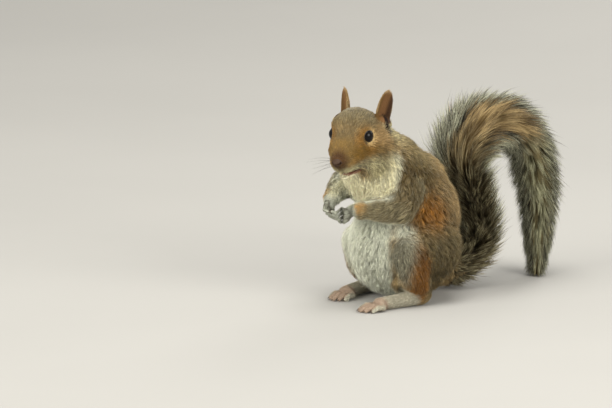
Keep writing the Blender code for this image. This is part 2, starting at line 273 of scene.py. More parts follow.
def remeshed(obj, voxel, smoothing):
    remesh = obj.modifiers.new("join", "REMESH")
    remesh.mode = "VOXEL"
    remesh.voxel_size = voxel * MM
    obj.modifiers.new("blend", "SMOOTH").iterations = smoothing
    return baked(obj)


def read(items, what, width, kind=np.float32):
    """A value of every item of a mesh, as rows."""
    found = np.empty(len(items) * width, kind)
    items.foreach_get(what, found)
    return found.reshape(-1, width)


def points_of(obj):
    return read(obj.data.vertices, "co", 3).astype(float)


def normals_of(obj):
    return read(obj.data.vertex_normals, "vector", 3).astype(float)


def set_points(obj, points):
    obj.data.vertices.foreach_set("co", np.asarray(points, np.float32).ravel())
    obj.data.update()


def set_colours(mesh, colours):
    """A colour for each of a mesh's points, where the materials of fur and skin find it."""
    rgba = np.concatenate([colours, np.ones((len(colours), 1))], 1).astype(np.float32)
    mesh.color_attributes.new("coat", "FLOAT_COLOR", "POINT").data.foreach_set("color", rgba.ravel())


def add_chain(bm, points, radii):
    """Balls joined by cones: points in metres, radii in millimetres."""
    points = [Vector(p) for p in points]
    for point, radius in zip(points, radii):
        place = Matrix.Translation(point) @ Matrix.Diagonal((*(radius * MM,) * 3, 1))
        bmesh.ops.create_uvsphere(bm, u_segments=20, v_segments=12, radius=1, matrix=place)
    for start, end, first, second in zip(points, points[1:], radii, radii[1:]):
        turn = (end - start).to_track_quat("Z", "Y").to_matrix().to_4x4()
        bmesh.ops.create_cone(
            bm, cap_ends=True, segments=18, radius1=first * MM, radius2=second * MM,
            depth=(end - start).length, matrix=Matrix.Translation((start + end) / 2) @ turn,
        )


def tube(bm, points, radii, sides=8):
    """A tapered tube along points, closed at both ends. Points in metres, radii in millimetres."""
    along = unit(np.gradient(points, axis=0))
    start = np.cross(along[0], (0.3, 0.2, 1.0))
    turns = [2 * math.pi * k / sides for k in range(sides)]
    rings = []
    for point, way, radius in zip(points, along, radii):
        start = unit(start - way * (start @ way))
        other = np.cross(way, start)
        ring = [point + (start * math.cos(a) + other * math.sin(a)) * radius * MM for a in turns]
        rings.append([bm.verts.new(p) for p in ring])
    for first, second in zip(rings, rings[1:]):
        for a, b, c, d in zip(first, first[1:] + first[:1], second[1:] + second[:1], second):
            bm.faces.new((a, b, c, d))
    bm.faces.new(rings[0][::-1])
    bm.faces.new(rings[-1])


# ---- the ears' places ----
EAR_ROWS, EAR_COLUMNS = 22, 16
EAR_TURN = math.radians(50)  # how far outward the ears open
EAR_HALF_WIDTH = 6.4
EAR_THICKNESS = 1.3


class Ear:
    """One ear's line from foot to tip and the ways it faces, in head coordinates."""

    def __init__(self, side, foot, tip, shade):
        self.side, self.shade = side, shade
        self.foot, self.tip = vectors(foot, tip)
        self.rise = self.tip - self.foot
        self.up = unit(self.rise)
        opening = np.array((math.sin(EAR_TURN) * side, -math.cos(EAR_TURN), 0))
        self.opening = unit(opening - self.up * (opening @ self.up))
        self.sideways = np.cross(self.up, self.opening)

    def along(self, h):
        """The share of the ear's height at which points lie."""
        return (h - self.foot) @ self.up / np.linalg.norm(self.rise)

    def across(self, h):
        """How far behind its middle points lie, as a share of its half width."""
        return (h - self.foot) @ unit(self.sideways * self.side) / EAR_HALF_WIDTH

    def facing(self, normals):
        return normals @ (self.opening @ HEAD_AXES)

    def surface(self):
        """Its middle surface as a grid of points."""
        v = np.linspace(0, 1, EAR_ROWS + 1)[:, None]
        i = np.linspace(-1, 1, EAR_COLUMNS + 1)[None, :]
        half = EAR_HALF_WIDTH * (0.8 + 0.5 * v) * (1 - v**2.6) ** 0.6 + 0.35
        wrap = np.radians(100 - 45 * v)
        radius = half / np.sin(np.minimum(wrap, math.pi / 2))
        turn = wrap * i
        out = radius * (np.cos(turn) - np.cos(wrap)) * 0.8
        grid = self.foot + v[..., None] * self.rise + (radius * np.sin(turn))[..., None] * self.sideways
        return grid - out[..., None] * self.opening


EARS = {  # side, foot, tip, and how strongly painted shade darkens the back half of the cup
    "left": Ear(1, (17.2, 22, -1), (23.5, 29, 28.2), 0.85),
    "right": Ear(-1, (-14.5, 22, -1), (-14.5, 29, 28.2), 0.2),
}

# Ellipsoids in head coordinates, as middle and half-sizes: the skull between the ears, what takes the head's
# colours, and what belongs to the head's piece of coat.
SKULL = ((0, 11, 1), (18.9, 23.3, 17.8))
HEAD_COLOUR = ((0, 2, -4), (27, 38, 28))
HEAD_COAT = ((0, 2, -6), (27, 40, 32))

# ---- the regions of the coat ----
# Each row: how many sides it is on, frame (H head, D design), ends of a line on the surface, how far it
# reaches, the way the hair lies, the coat's depth, the tufts' length and width, and tufts per square
# millimetre.
REGIONS = (
    (1, "H", (0, -31, -8), (0, -14, 4), 6, (0, 0.85, 0.45), 0.7, 2.4, 0.25, 3.4),
    (2, "H", (6, -28, -13), (12, -13, -12), 6, (0.35, 0.92, -0.12), 0.8, 2.8, 0.25, 3.4),
    (2, "H", (4, -26, -18), (9, -15, -21), 4, (0.4, 0.85, -0.35), 0.8, 2.0, 0.22, 3.8),
    (1, "H", (0, -21, -29), (0, -10, -31), 6, (0, 0.8, -0.55), 0.5, 2.2, 0.22, 3.2),
    (1, "H", (0, -8, 10), (0, 6, 18), 8, (0, 0.95, 0.3), 1.1, 5.0, 0.34, 2.6),
    (1, "H", (0, 14, 19), (0, 28, 14), 9, (0, 0.95, -0.3), 1.8, 6.0, 0.36, 2.2),
    (2, "H", (12, -5, 8), (15, 9, 8), 5, (0.1, 0.98, 0.05), 1.0, 3.4, 0.28, 3.2),
    (2, "H", (14, -8, -8), (19, 7, -10), 7, (0.15, 0.93, -0.3), 1.4, 4.4, 0.30, 2.8),
    (2, "H", (18, 12, 0), (17, 24, 2), 6, (0.05, 0.93, -0.35), 2.0, 5.5, 0.33, 2.3),
    (2, "H", (19, 12, -18), (17, 24, -14), 8, (0.1, 0.86, -0.50), 2.6, 7.0, 0.36, 1.9),
    (1, "H", (0, -2, -33), (0, 10, -35), 8, (0, 0.3, -0.95), 2.6, 5.5, 0.30, 2.4),
    (1, "D", (0, -8, 132), (0, 12, 116), 14, (0, 0.75, -0.65), 5.0, 8.0, 0.33, 2.0),
    (2, "D", (30, -32, 118), (32, -22, 104), 12, (0.03, 0.3, -0.95), 5.0, 7.5, 0.33, 2.0),
    (1, "D", (0, -64, 112), (0, -58, 95), 12, (0, 0.1, -1), 5.0, 7.0, 0.31, 2.2),
    (1, "D", (0, 24, 108), (0, 40, 85), 16, (0, 0.5, -0.87), 6.0, 8.5, 0.35, 1.8),
    (1, "D", (0, 46, 75), (0, 46, 45), 18, (0, 0.05, -1), 6.0, 8.5, 0.36, 1.75),
    (1, "D", (0, 42, 30), (0, 30, 8), 14, (0, 0.2, -1), 5.0, 8.5, 0.37, 1.65),
    (2, "D", (35, 5, 88), (41, 12, 60), 16, (0, 0.24, -0.97), 6.0, 8.0, 0.34, 1.85),
    (1, "D", (0, -57, 90), (0, -54, 70), 14, (0, 0.02, -1), 6.0, 8.0, 0.32, 1.9),
    (1, "D", (0, -50, 60), (0, -44, 22), 18, (0, 0.1, -1), 6.0, 8.0, 0.33, 1.85),
    (2, "D", (47, -5, 52), (49, 0, 30), 14, (0, 0.32, -0.95), 5.0, 7.5, 0.34, 1.9),
    (2, "D", (38, -35, 46), (42, -30, 32), 8, (0.05, 0.12, -0.99), 3.5, 6.0, 0.30, 2.1),
    (2, "D", (46, -18, 26), (42, -12, 8), 8, (0, 0.15, -0.98), 3.0, 5.5, 0.29, 2.2),
)
MIRRORED = np.array(((1, 1, 1), (-1, 1, 1)))
LIMB_PULL = 6.0  # how far the rows of arms and legs outweigh those of the body
PAW_PULL = 200.0
EAR_PULL = 8.0
EAR_COAT = (0.6, 2.6, 0.19, 3.4)
# Each arm: shoulder, elbow, wrist, the way the paw reaches and the way its fingers spread.
ARMS = {
    "left": vectors(
        (21, -18, 93), (33, -31, 78), (10.5, -62, 79), (-0.55, -0.55, -0.45), (0.25, -0.45, 0.85)
    ),
    "right": vectors(
        (-21, -18, 93), (-33, -34, 92), (-16, -63, 83.5), (0.42, -0.48, -0.74), (0.1, -0.8, 0.6)
    ),
}


def foot_line(heel, middle, ball):
    """Heel, middle, ball and toe tips of a hind foot."""
    heel, middle, ball = vectors(heel, middle, ball)
    return heel, middle, ball, ball + unit(ball - heel) * 18


FEET = {
    "left": foot_line((34, -12, 7.5), (31, -32, 5.5), (29, -50, 5)),
    "right": foot_line((-33, -3, 7.5), (-28, -22, 5.5), (-24, -39, 5)),
}
FLESH = (
    "head", "neck", "trunk", "thigh_left", "thigh_right", "shank_left", "shank_right",
    "upper_arm_left", "upper_arm_right", "forearm_left", "forearm_right",
)
TAIL_NODES = ("tail_root", "tail_rise", "tail_crook", "tail_arch", "tail_fall", "tail_tip")
PAWS_AND_EARS = ("hand_left", "hand_right", "foot_left", "foot_right", "ear_left", "ear_right")


def limb_regions():
    """Rows for the arms, paws and feet, which follow their bones: ends, radius, reach, pull and coat."""
    rows = []
    for shoulder, elbow, wrist, reach, _ in ARMS.values():
        palm, tips = wrist + unit(reach) * 4, wrist + unit(reach) * 14
        rows.append((shoulder, elbow, 13, 4, LIMB_PULL, 3.5, 7.5, 0.34, 2.0))
        rows.append((elbow, wrist, 8.5, 4, LIMB_PULL, 2.6, 5.0, 0.30, 2.4))
        rows.append((palm, tips, 6, 2.2, PAW_PULL, 0.3, 1.5, 0.17, 4.0))
    for heel, middle, ball, toes in FEET.values():
        rows.append((heel, middle, 6, 4, LIMB_PULL, 0.9, 3.2, 0.24, 3.2))
        rows.append((middle, ball, 5.5, 4, LIMB_PULL, 0.9, 3.0, 0.24, 3.2))
        rows.append((ball, toes, 5, 2.5, 2 * LIMB_PULL, 0.5, 1.8, 0.18, 3.6))
    return rows


def all_regions():
    """Every row in the row frame: ends, radius, reach, the hair's lie, pull and coat."""
    rows = []
    for copies, kind, start, end, reach, lie, *coat in REGIONS:
        for flip in MIRRORED[:copies]:
            ends = np.array((start, end)) * flip
            way = unit(lie * flip)
            ends, way = (from_head(ends), way @ HEAD_AXES) if kind == "H" else (design(ends), way)
            rows.append((*ends, 0.0, reach * MM, way, 1.0, coat))
    for start, end, radius, reach, pull, *coat in limb_regions():
        rows.append((*design([start, end]), radius * MM, reach * MM, unit(end - start), pull, coat))
    for ear in EARS.values():
        foot, tip = from_head([ear.foot, ear.tip])
        rows.append((foot + (tip - foot) * 0.25, tip, 6 * MM, 2 * MM, unit(tip - foot), EAR_PULL, EAR_COAT))
    return rows


ALL_REGIONS = all_regions()


def coat_at(points):
    """The way the hair lies, and [depth, length, width, density], at points in the row frame."""
    lie = np.zeros((len(points), 3))
    coat = np.zeros((len(points), 4))
    total = np.zeros(len(points))
    for start, end, radius, reach, way, pull, numbers in ALL_REGIONS:
        away = np.maximum(distance_to(points, start, end) - radius, 0) / reach
        weight = pull * (np.exp(-away * away) + 1e-4 / (1 + away**4))
        lie += weight[:, None] * way
        coat += weight[:, None] * np.array(numbers)
        total += weight
    return unit(lie), coat / total[:, None]


# ---- the skin ----
CORE_VOXEL = 1.3
CORE_SMOOTHING = 8
SKIN_VOXEL = 0.6
SKIN_SMOOTHING = 2
SKIN_TRIANGLES = 190_000
SOLIDS_GROW = 0.35  # so that neighbouring solids join
SINKING_STEPS = 3  # the core is drawn in by the coat's depth in this many steps
FINGER_LENGTHS = (9.4, 10.8, 10.6, 9.2)
FINGER_SPACING = 3.75
TOE_LENGTHS = (11.5, 15, 16.5, 15.5, 13)
TOE_SPACING = 3.3
FAN = 0.06  # how far each finger or toe turns from the next
TAIL_CORE_END = 0.93  # the bare tail ends at this share of the line
TAIL_CORE_BALLS = 60


def flesh_core():
    """The solids of the flesh, joined and drawn in by the coat's depth."""
    bm = bmesh.new()
    for node in FLESH + ("eye_left", "eye_right", "nose"):
        bm.from_mesh(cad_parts[node].data)
    bmesh.ops.remove_doubles(bm, verts=bm.verts, dist=1e-6)
    core = bm_object("core", bm)
    set_points(core, points_of(core) + normals_of(core) * SOLIDS_GROW * MM)
    remeshed(core, CORE_VOXEL, CORE_SMOOTHING)
    for _ in range(SINKING_STEPS):
        points, normals = points_of(core), normals_of(core)
        depth = coat_at(points)[1][:, 0] * MM / SINKING_STEPS
        set_points(core, points - normals * depth[:, None])
        core.modifiers.new("even", "SMOOTH").iterations = 2
        baked(core)
    return core


claw_places = {"hands": [], "feet": []}
finger_lines = []


def add_hand(bm, name):
    """The palm and four fingers, curled in towards the other paw."""
    _, elbow, wrist, reach, spread = ARMS[name]
    reach = unit(reach)
    across = unit(spread - reach * (spread @ reach))
    curl = np.cross(across, reach)
    curl = -curl if curl[0] * SIDES[name] > 0 else curl
    palm = wrist + reach * 5
    back = wrist - unit(wrist - elbow) * 8
    add_chain(bm, design([back, wrist, palm]), (5.6, 4.9, 4.4))
    for finger, length in enumerate(FINGER_LENGTHS):
        place = finger - 1.5
        offset = across * (place * FINGER_SPACING)
        fan = unit(reach + across * place * FAN)
        last = unit(fan * 0.55 + curl * 0.85)
        knuckle = palm + reach * 2.6 + offset
        joint = knuckle + fan * (length * 0.5)
        tip = joint + last * (length * 0.5)
        add_chain(bm, design([palm + offset * 0.5, knuckle, joint, tip]), (2.3, 1.5, 1.4, 1.1))
        finger_lines.append((palm + offset * 0.8, joint))
        finger_lines.append((joint, tip))
        claw_places["hands"].append((design(tip), last, curl))


def add_foot(bm, name):
    """A hind foot flat on the floor, with five toes."""
    heel, middle, ball, _ = FEET[name]
    ahead = unit((ball - heel) * (1, 1, 0))
    sideways = unit(np.cross(ahead, (0, 0, 1.0)))
    add_chain(bm, design([heel, middle, ball] - np.array((0, 0, 0.2))), (6.6, 5.0, 4.9))
    for toe, length in enumerate(TOE_LENGTHS[:: SIDES[name]]):
        place = toe - 2
        knuckle = ball + ahead * (2 - abs(place) * 0.9) + sideways * (place * TOE_SPACING)
        knuckle[2] = 3.0
        fan = unit(ahead + sideways * place * FAN)
        joint = knuckle + fan * length * 0.5 + (0, 0, 0.9)
        tip = knuckle + fan * length * 0.95
        tip[2] = 1.7
        add_chain(bm, design([ball + sideways * place * 1.6, knuckle, joint, tip]), (3.2, 2.0, 1.8, 1.4))
        claw_places["feet"].append((design(tip), unit(fan + (0, 0, 0.05)), np.array((0, 0, -1.0))))


def ear_object(name):
    bm = bmesh.new()
    rows = [[bm.verts.new(p) for p in from_head(row)] for row in EARS[name].surface()]
    for first, second in zip(rows, rows[1:]):
        for a, b, c, d in zip(first, first[1:], second[1:], second):
            bm.faces.new((a, b, c, d))
    ear = bm_object("ear_form_" + name, bm)
    shell = ear.modifiers.new("thickness", "SOLIDIFY")
    shell.thickness = EAR_THICKNESS * MM
    shell.offset = 0
    return baked(ear)


def skin_object():
    core = flesh_core()
    ears = [ear_object(name) for name in SIDES]
    bm = bmesh.new()
    for name in SIDES:
        add_hand(bm, name)
        add_foot(bm, name)
    s = np.linspace(0, tail.length * TAIL_CORE_END, TAIL_CORE_BALLS)
    add_chain(bm, tail.at(s)[0], core_radius(s) / MM)
    for piece in [core, *ears]:
        bm.from_mesh(piece.data)
        bpy.data.objects.remove(piece)
    skin = bm_object("skin", bm)
    remeshed(skin, SKIN_VOXEL, SKIN_SMOOTHING)
    fewer = skin.modifiers.new("fewer", "DECIMATE")
    fewer.ratio = min(1.0, SKIN_TRIANGLES / (2 * len(skin.data.polygons)))
    baked(skin)
    points = points_of(skin)
    points[:, 2] = np.maximum(points[:, 2], 0)
    set_points(skin, points)
    return skin


# ---- the face ----
EYE_SINK = 1.7  # the eyeball sits this much deeper than its solid
EYE_OPEN = math.radians(56)  # half the angle of the eyeball that the lids leave bare
EYE_BED = 4.9  # the skin's distance from the eyeball's centre, under it
EYE_SURROUND = 14  # the skin is shaped as far as this from the centre
LID_SLOPE, LID_WIDTH = 0.22, 7
# The way each eye looks: out to the side, and a little forward and up.
EYE_AXIS = {name: unit(np.array((side * 0.87, -0.46, 0.12)) @ HEAD_AXES) for name, side in SIDES.items()}
EYE_AT = {name: np.array(EYES[name]) - EYE_AXIS[name] * EYE_SINK * MM for name in SIDES}
NOSE_AT = to_head(middle_of("nose")) + (0, -0.6, -0.3)
NOSE_HALF = (4.2, 2.9, 3.4)  # half the pad's width, depth and height
MOUTH_DEPTH = 3.0
MOUTH_HALF_WIDTH, MOUTH_BACK = 10.8, -5
LIP_SMOOTHING = 24
LIP_STEPS = (0.9, -1.5)  # the skin above the upper edge and below the lower one, where the lips are found
CHIN_FRONT = -19.3  # the tip of the lower jaw
CHIN_CURVE = 0.12
CHIN_TOP, CHIN_HALF_WIDTH, CHIN_BACK = -26.5, 6, -10  # where the skin is kept behind the chin's curve
# The parting of the lips on the left side, in head coordinates: upper edge and lower edge.
UPPER_LIP = ((0, -24, -23.2), (4.5, -21, -23.5), (8.2, -15, -23.9), (10.6, -8.0, -24.9))
LOWER_LIP = ((0, -21, -27.0), (4.0, -18.5, -28.2), (7.4, -14, -27.6), (10.4, -8.0, -25.6))


def off_eye(points, name):
    """How far points are from the line that an eye looks along, and from its centre, in millimetres."""
    away = points - EYE_AT[name]
    ahead = away @ EYE_AXIS[name]
    off_axis = norm(away - ahead[:, None] * EYE_AXIS[name]) / MM
    return np.where(ahead > 0, off_axis, 99), norm(away) / MM


def off_nose(h):
    """How far points in head coordinates are from the nose pad's middle, where 1 is its edge."""
    return norm((h - NOSE_AT)[:, [0, 2]] / (NOSE_HALF[0], NOSE_HALF[2]))


def lip_line(points, per_point=6):
    """A smooth line from the right corner of the mouth to the left one, in head coordinates."""
    half = np.array(points, float)
    return smooth_line(np.concatenate([half[::-1] * (-1, 1, 1), half[1:]]), per_point)


def in_mouth(h):
    """1 between the lips at points in head coordinates, 0 outside, and how wide the mouth is open there."""
    top, bottom = (np.interp(h[:, 0], *lip_line(lip)[:, [0, 2]].T) for lip in (UPPER_LIP, LOWER_LIP))
    middle, half = (top + bottom) / 2, np.maximum((top - bottom) / 2, 0.15)
    within = (np.abs(h[:, 0]) < MOUTH_HALF_WIDTH) & (h[:, 1] < MOUTH_BACK)
    return within * fade(0.8, 1.05, np.abs(h[:, 2] - middle) / half), ramp(0.5, 1.1, half)


def off_lips(points):
    """How far points in the row frame are from the edges of the lips, in millimetres."""
    return nearest(from_head(np.concatenate([lip_line(UPPER_LIP), lip_line(LOWER_LIP)])), points)[1] / MM


def on_face(tree, lip, step):
    """The line of a lip moved onto the skin a step above or below it, and smoothed."""
    found = []
    for point in lip_line(lip, 10):
        outward = unit(np.array((point[0], point[1] + 8, 0.0)))
        start = from_head([point + outward * 8 + (0, 0, step)])[0]
        hit = tree.ray_cast(Vector(start), Vector(-outward @ HEAD_AXES), 0.02)[0]
        found.append(point if hit is None else to_head([list(hit)])[0] - (0, 0, step))
    found = np.array(found)
    for _ in range(LIP_SMOOTHING):
        found[1:-1] = (found[:-2] + 2 * found[1:-1] + found[2:]) / 4
    return found


def open_eyes(points):
    """Lays the skin round the eyeballs as lids, and takes it back behind them."""
    ring = EYE_RADIUS * math.sin(EYE_OPEN)
    for name in SIDES:
        centre, axis = EYE_AT[name], EYE_AXIS[name]
        away = (points - centre) / MM
        height = away @ axis
        off_axis = norm(away - height[:, None] * axis)
        outer = (norm(away) < EYE_SURROUND) & (height > -3)
        lid = EYE_RADIUS * math.cos(EYE_OPEN) - 0.1 - LID_SLOPE * np.maximum(off_axis - ring, 0)
        raised = np.maximum(lid - height, 0) * fade(ring, ring + LID_WIDTH, off_axis)
        lowered = np.minimum(lid + 0.5 - height, 0) * fade(ring, ring + 2.5, off_axis)
        points += np.where(outer, raised + lowered, 0)[:, None] * axis * MM
        bare = outer & (off_axis < ring)
        points[bare] = centre + unit(away)[bare] * EYE_BED * MM
    return points


def shape_face(skin):
    """Opens the skin over the eyeballs, and presses in the mouth and the skin behind the nose pad.

    Returns the edge of the lower lip, and for each point how far it is inside the lips and how low there.
    """
    local = to_head(open_eyes(points_of(skin)))
    x, y, z = local.T
    chin = (z < CHIN_TOP) & (np.abs(x) < CHIN_HALF_WIDTH) & (y < CHIN_BACK)
    local[:, 1] = np.where(chin, np.maximum(y, CHIN_FRONT + CHIN_CURVE * x**2), y)
    tree = BVHTree.FromPolygons(from_head(local).tolist(), [tuple(p.vertices) for p in skin.data.polygons])
    upper, lower = (on_face(tree, *lip) for lip in zip((UPPER_LIP, LOWER_LIP), LIP_STEPS))
    within, opened = in_mouth(local)
    x, y, z = local.T
    top, bottom = (np.interp(x, edge[:, 0], edge[:, 2]) for edge in (upper, lower))
    low = np.clip((top - z) / np.maximum(top - bottom, 0.1), 0, 1)
    front = mixed(np.interp(x, upper[:, 0], upper[:, 1]), np.interp(x, lower[:, 0], lower[:, 1]), low)
    wall = front + MOUTH_DEPTH * np.sqrt(np.sin(math.pi * low))
    local[:, 1] = y + within * opened * np.maximum(wall - y, 0)
    under_pad = fade(0.75, 1.15, off_nose(local)) * (local[:, 1] < NOSE_AT[1] + 4)
    drop = np.maximum(NOSE_AT[1] + 1.2 - local[:, 1], 0) * under_pad
    set_points(skin, from_head(local) + HEAD_BACK * drop[:, None] * MM)
    return lower, within[:, None], ramp(0.35, 0.8, low)[:, None]


# ---- markings ----
def srgb(r, g, b):
    """A colour as seen on a screen, from 0 to 255, as the linear values shaders use."""
    c = np.array((r, g, b)) / 255
    return np.where(c <= 0.04045, c / 12.92, ((c + 0.055) / 1.055) ** 2.4)


BACK = srgb(174, 149, 104)
# the shoulders' brown, partly their own colour and partly painted shade between cheek and arm
SHOULDER_BROWN_AND_SHADE = srgb(106, 88, 52)
OCHRE = srgb(134, 100, 34)
BUFF = srgb(170, 140, 92)
CHEEK_WHITE = srgb(196, 187, 146)
CREAM = srgb(250, 244, 210)
WHITE = srgb(230, 232, 214)
# painted shade inside the cups of the ears
EAR_CUP_SHADE = srgb(60, 38, 26)
NOSE_BROWN = srgb(76, 46, 20)
# painted shade in the top of the open mouth
MOUTH_SHADE = srgb(58, 34, 26)
MOUTH_PINK = srgb(112, 70, 56)
DARK_TICK = srgb(44, 37, 26)
TAN_TICK = srgb(178, 150, 104)
PALE_TICK = srgb(206, 198, 168)

# Spots of colour: centre and half-sizes of an ellipsoid on one side, how soft its edge is, its colour,
# how strongly the hair there is ticked, and how much of the colour is laid on.
BODY_SPOTS = (
    ((30, 10, 70), (24, 40, 34), 0.35, srgb(154, 129, 87)),  # flank
    ((44, 6, 34), (22, 34, 32), 0.35, srgb(108, 94, 61), 0.9),  # haunch
    ((24, -16, 104), (18, 26, 18), 0.35, SHOULDER_BROWN_AND_SHADE),  # shoulder, its brown partly painted shade between cheek and arm
    ((0, 0, 122), (34, 26, 14), 0.35, srgb(138, 122, 84)),  # nape
    ((12, -37, 117), (12, 11, 16), 0.25, CHEEK_WHITE, 0.6, 0.9),  # side of the throat
    ((39, -2, 77), (16, 16, 17), 0.55, srgb(172, 116, 40), 0.9, 0.95),  # rust of the flank
    ((38, -32, 42), (13, 12, 22), 0.35, srgb(150, 146, 124), 1.0),  # grey of the thigh
    ((44, -20, 22), (13, 8.5, 29), 0.5, srgb(140, 92, 32), 0.7),  # rust of the shank
)
HEAD_SPOTS = (
    ((0, 16, 14), (19, 20, 14), 0.35, srgb(134, 121, 88), 0.8),  # crown
    ((0, -20, -6), (12, 17, 9), 0.35, srgb(140, 111, 58), 0.5),  # bridge of the nose
    ((15, -6, -3), (9, 12, 11), 0.35, srgb(158, 116, 52), 0.35),  # before the eye
    ((11, -13, -9), (8, 9, 6), 0.5, OCHRE, 0.3),
    ((9, -20, -16), (6, 8, 4), 0.5, srgb(160, 123, 60), 0.3, 0.8),  # side of the muzzle
    ((19, 12, -5), (8, 10, 9), 0.5, BUFF, 0.4),  # behind the eye
    ((17, 3, -13), (8, 12, 6), 0.5, OCHRE, 0.4, 0.45),  # under the eye
    ((16, 4, -24), (13, 18, 8), 0.5, CHEEK_WHITE, 0.5),  # lower cheek
    ((22, 26, -8), (9, 9, 16), 0.5, CHEEK_WHITE, 0.9, 0.7),  # side of the neck
    ((6, -20, -21), (8, 11, 4.5), 0.5, CHEEK_WHITE, 0.3),  # upper lip
    ((0, -2, -41), (28, 26, 11.5), 0.25, CREAM, 0.1),  # throat
    ((10, -8, -26), (5, 7, 3.5), 0.5, BUFF, 0.5, 0.8),  # corner of the mouth
    ((0, -12, -32), (9, 12, 5), 0.4, CREAM, 0.1),  # chin
    ((18, 30, 0), (7, 7, 8), 0.5, CHEEK_WHITE, 0.6, 0.7),  # behind the ear
)


def spot(points, centre, radii, soft=0.35):
    """1 inside an ellipsoid, falling to 0 outside it."""
    return fade(1 - soft, 1 + soft, out_of(points, centre, radii))


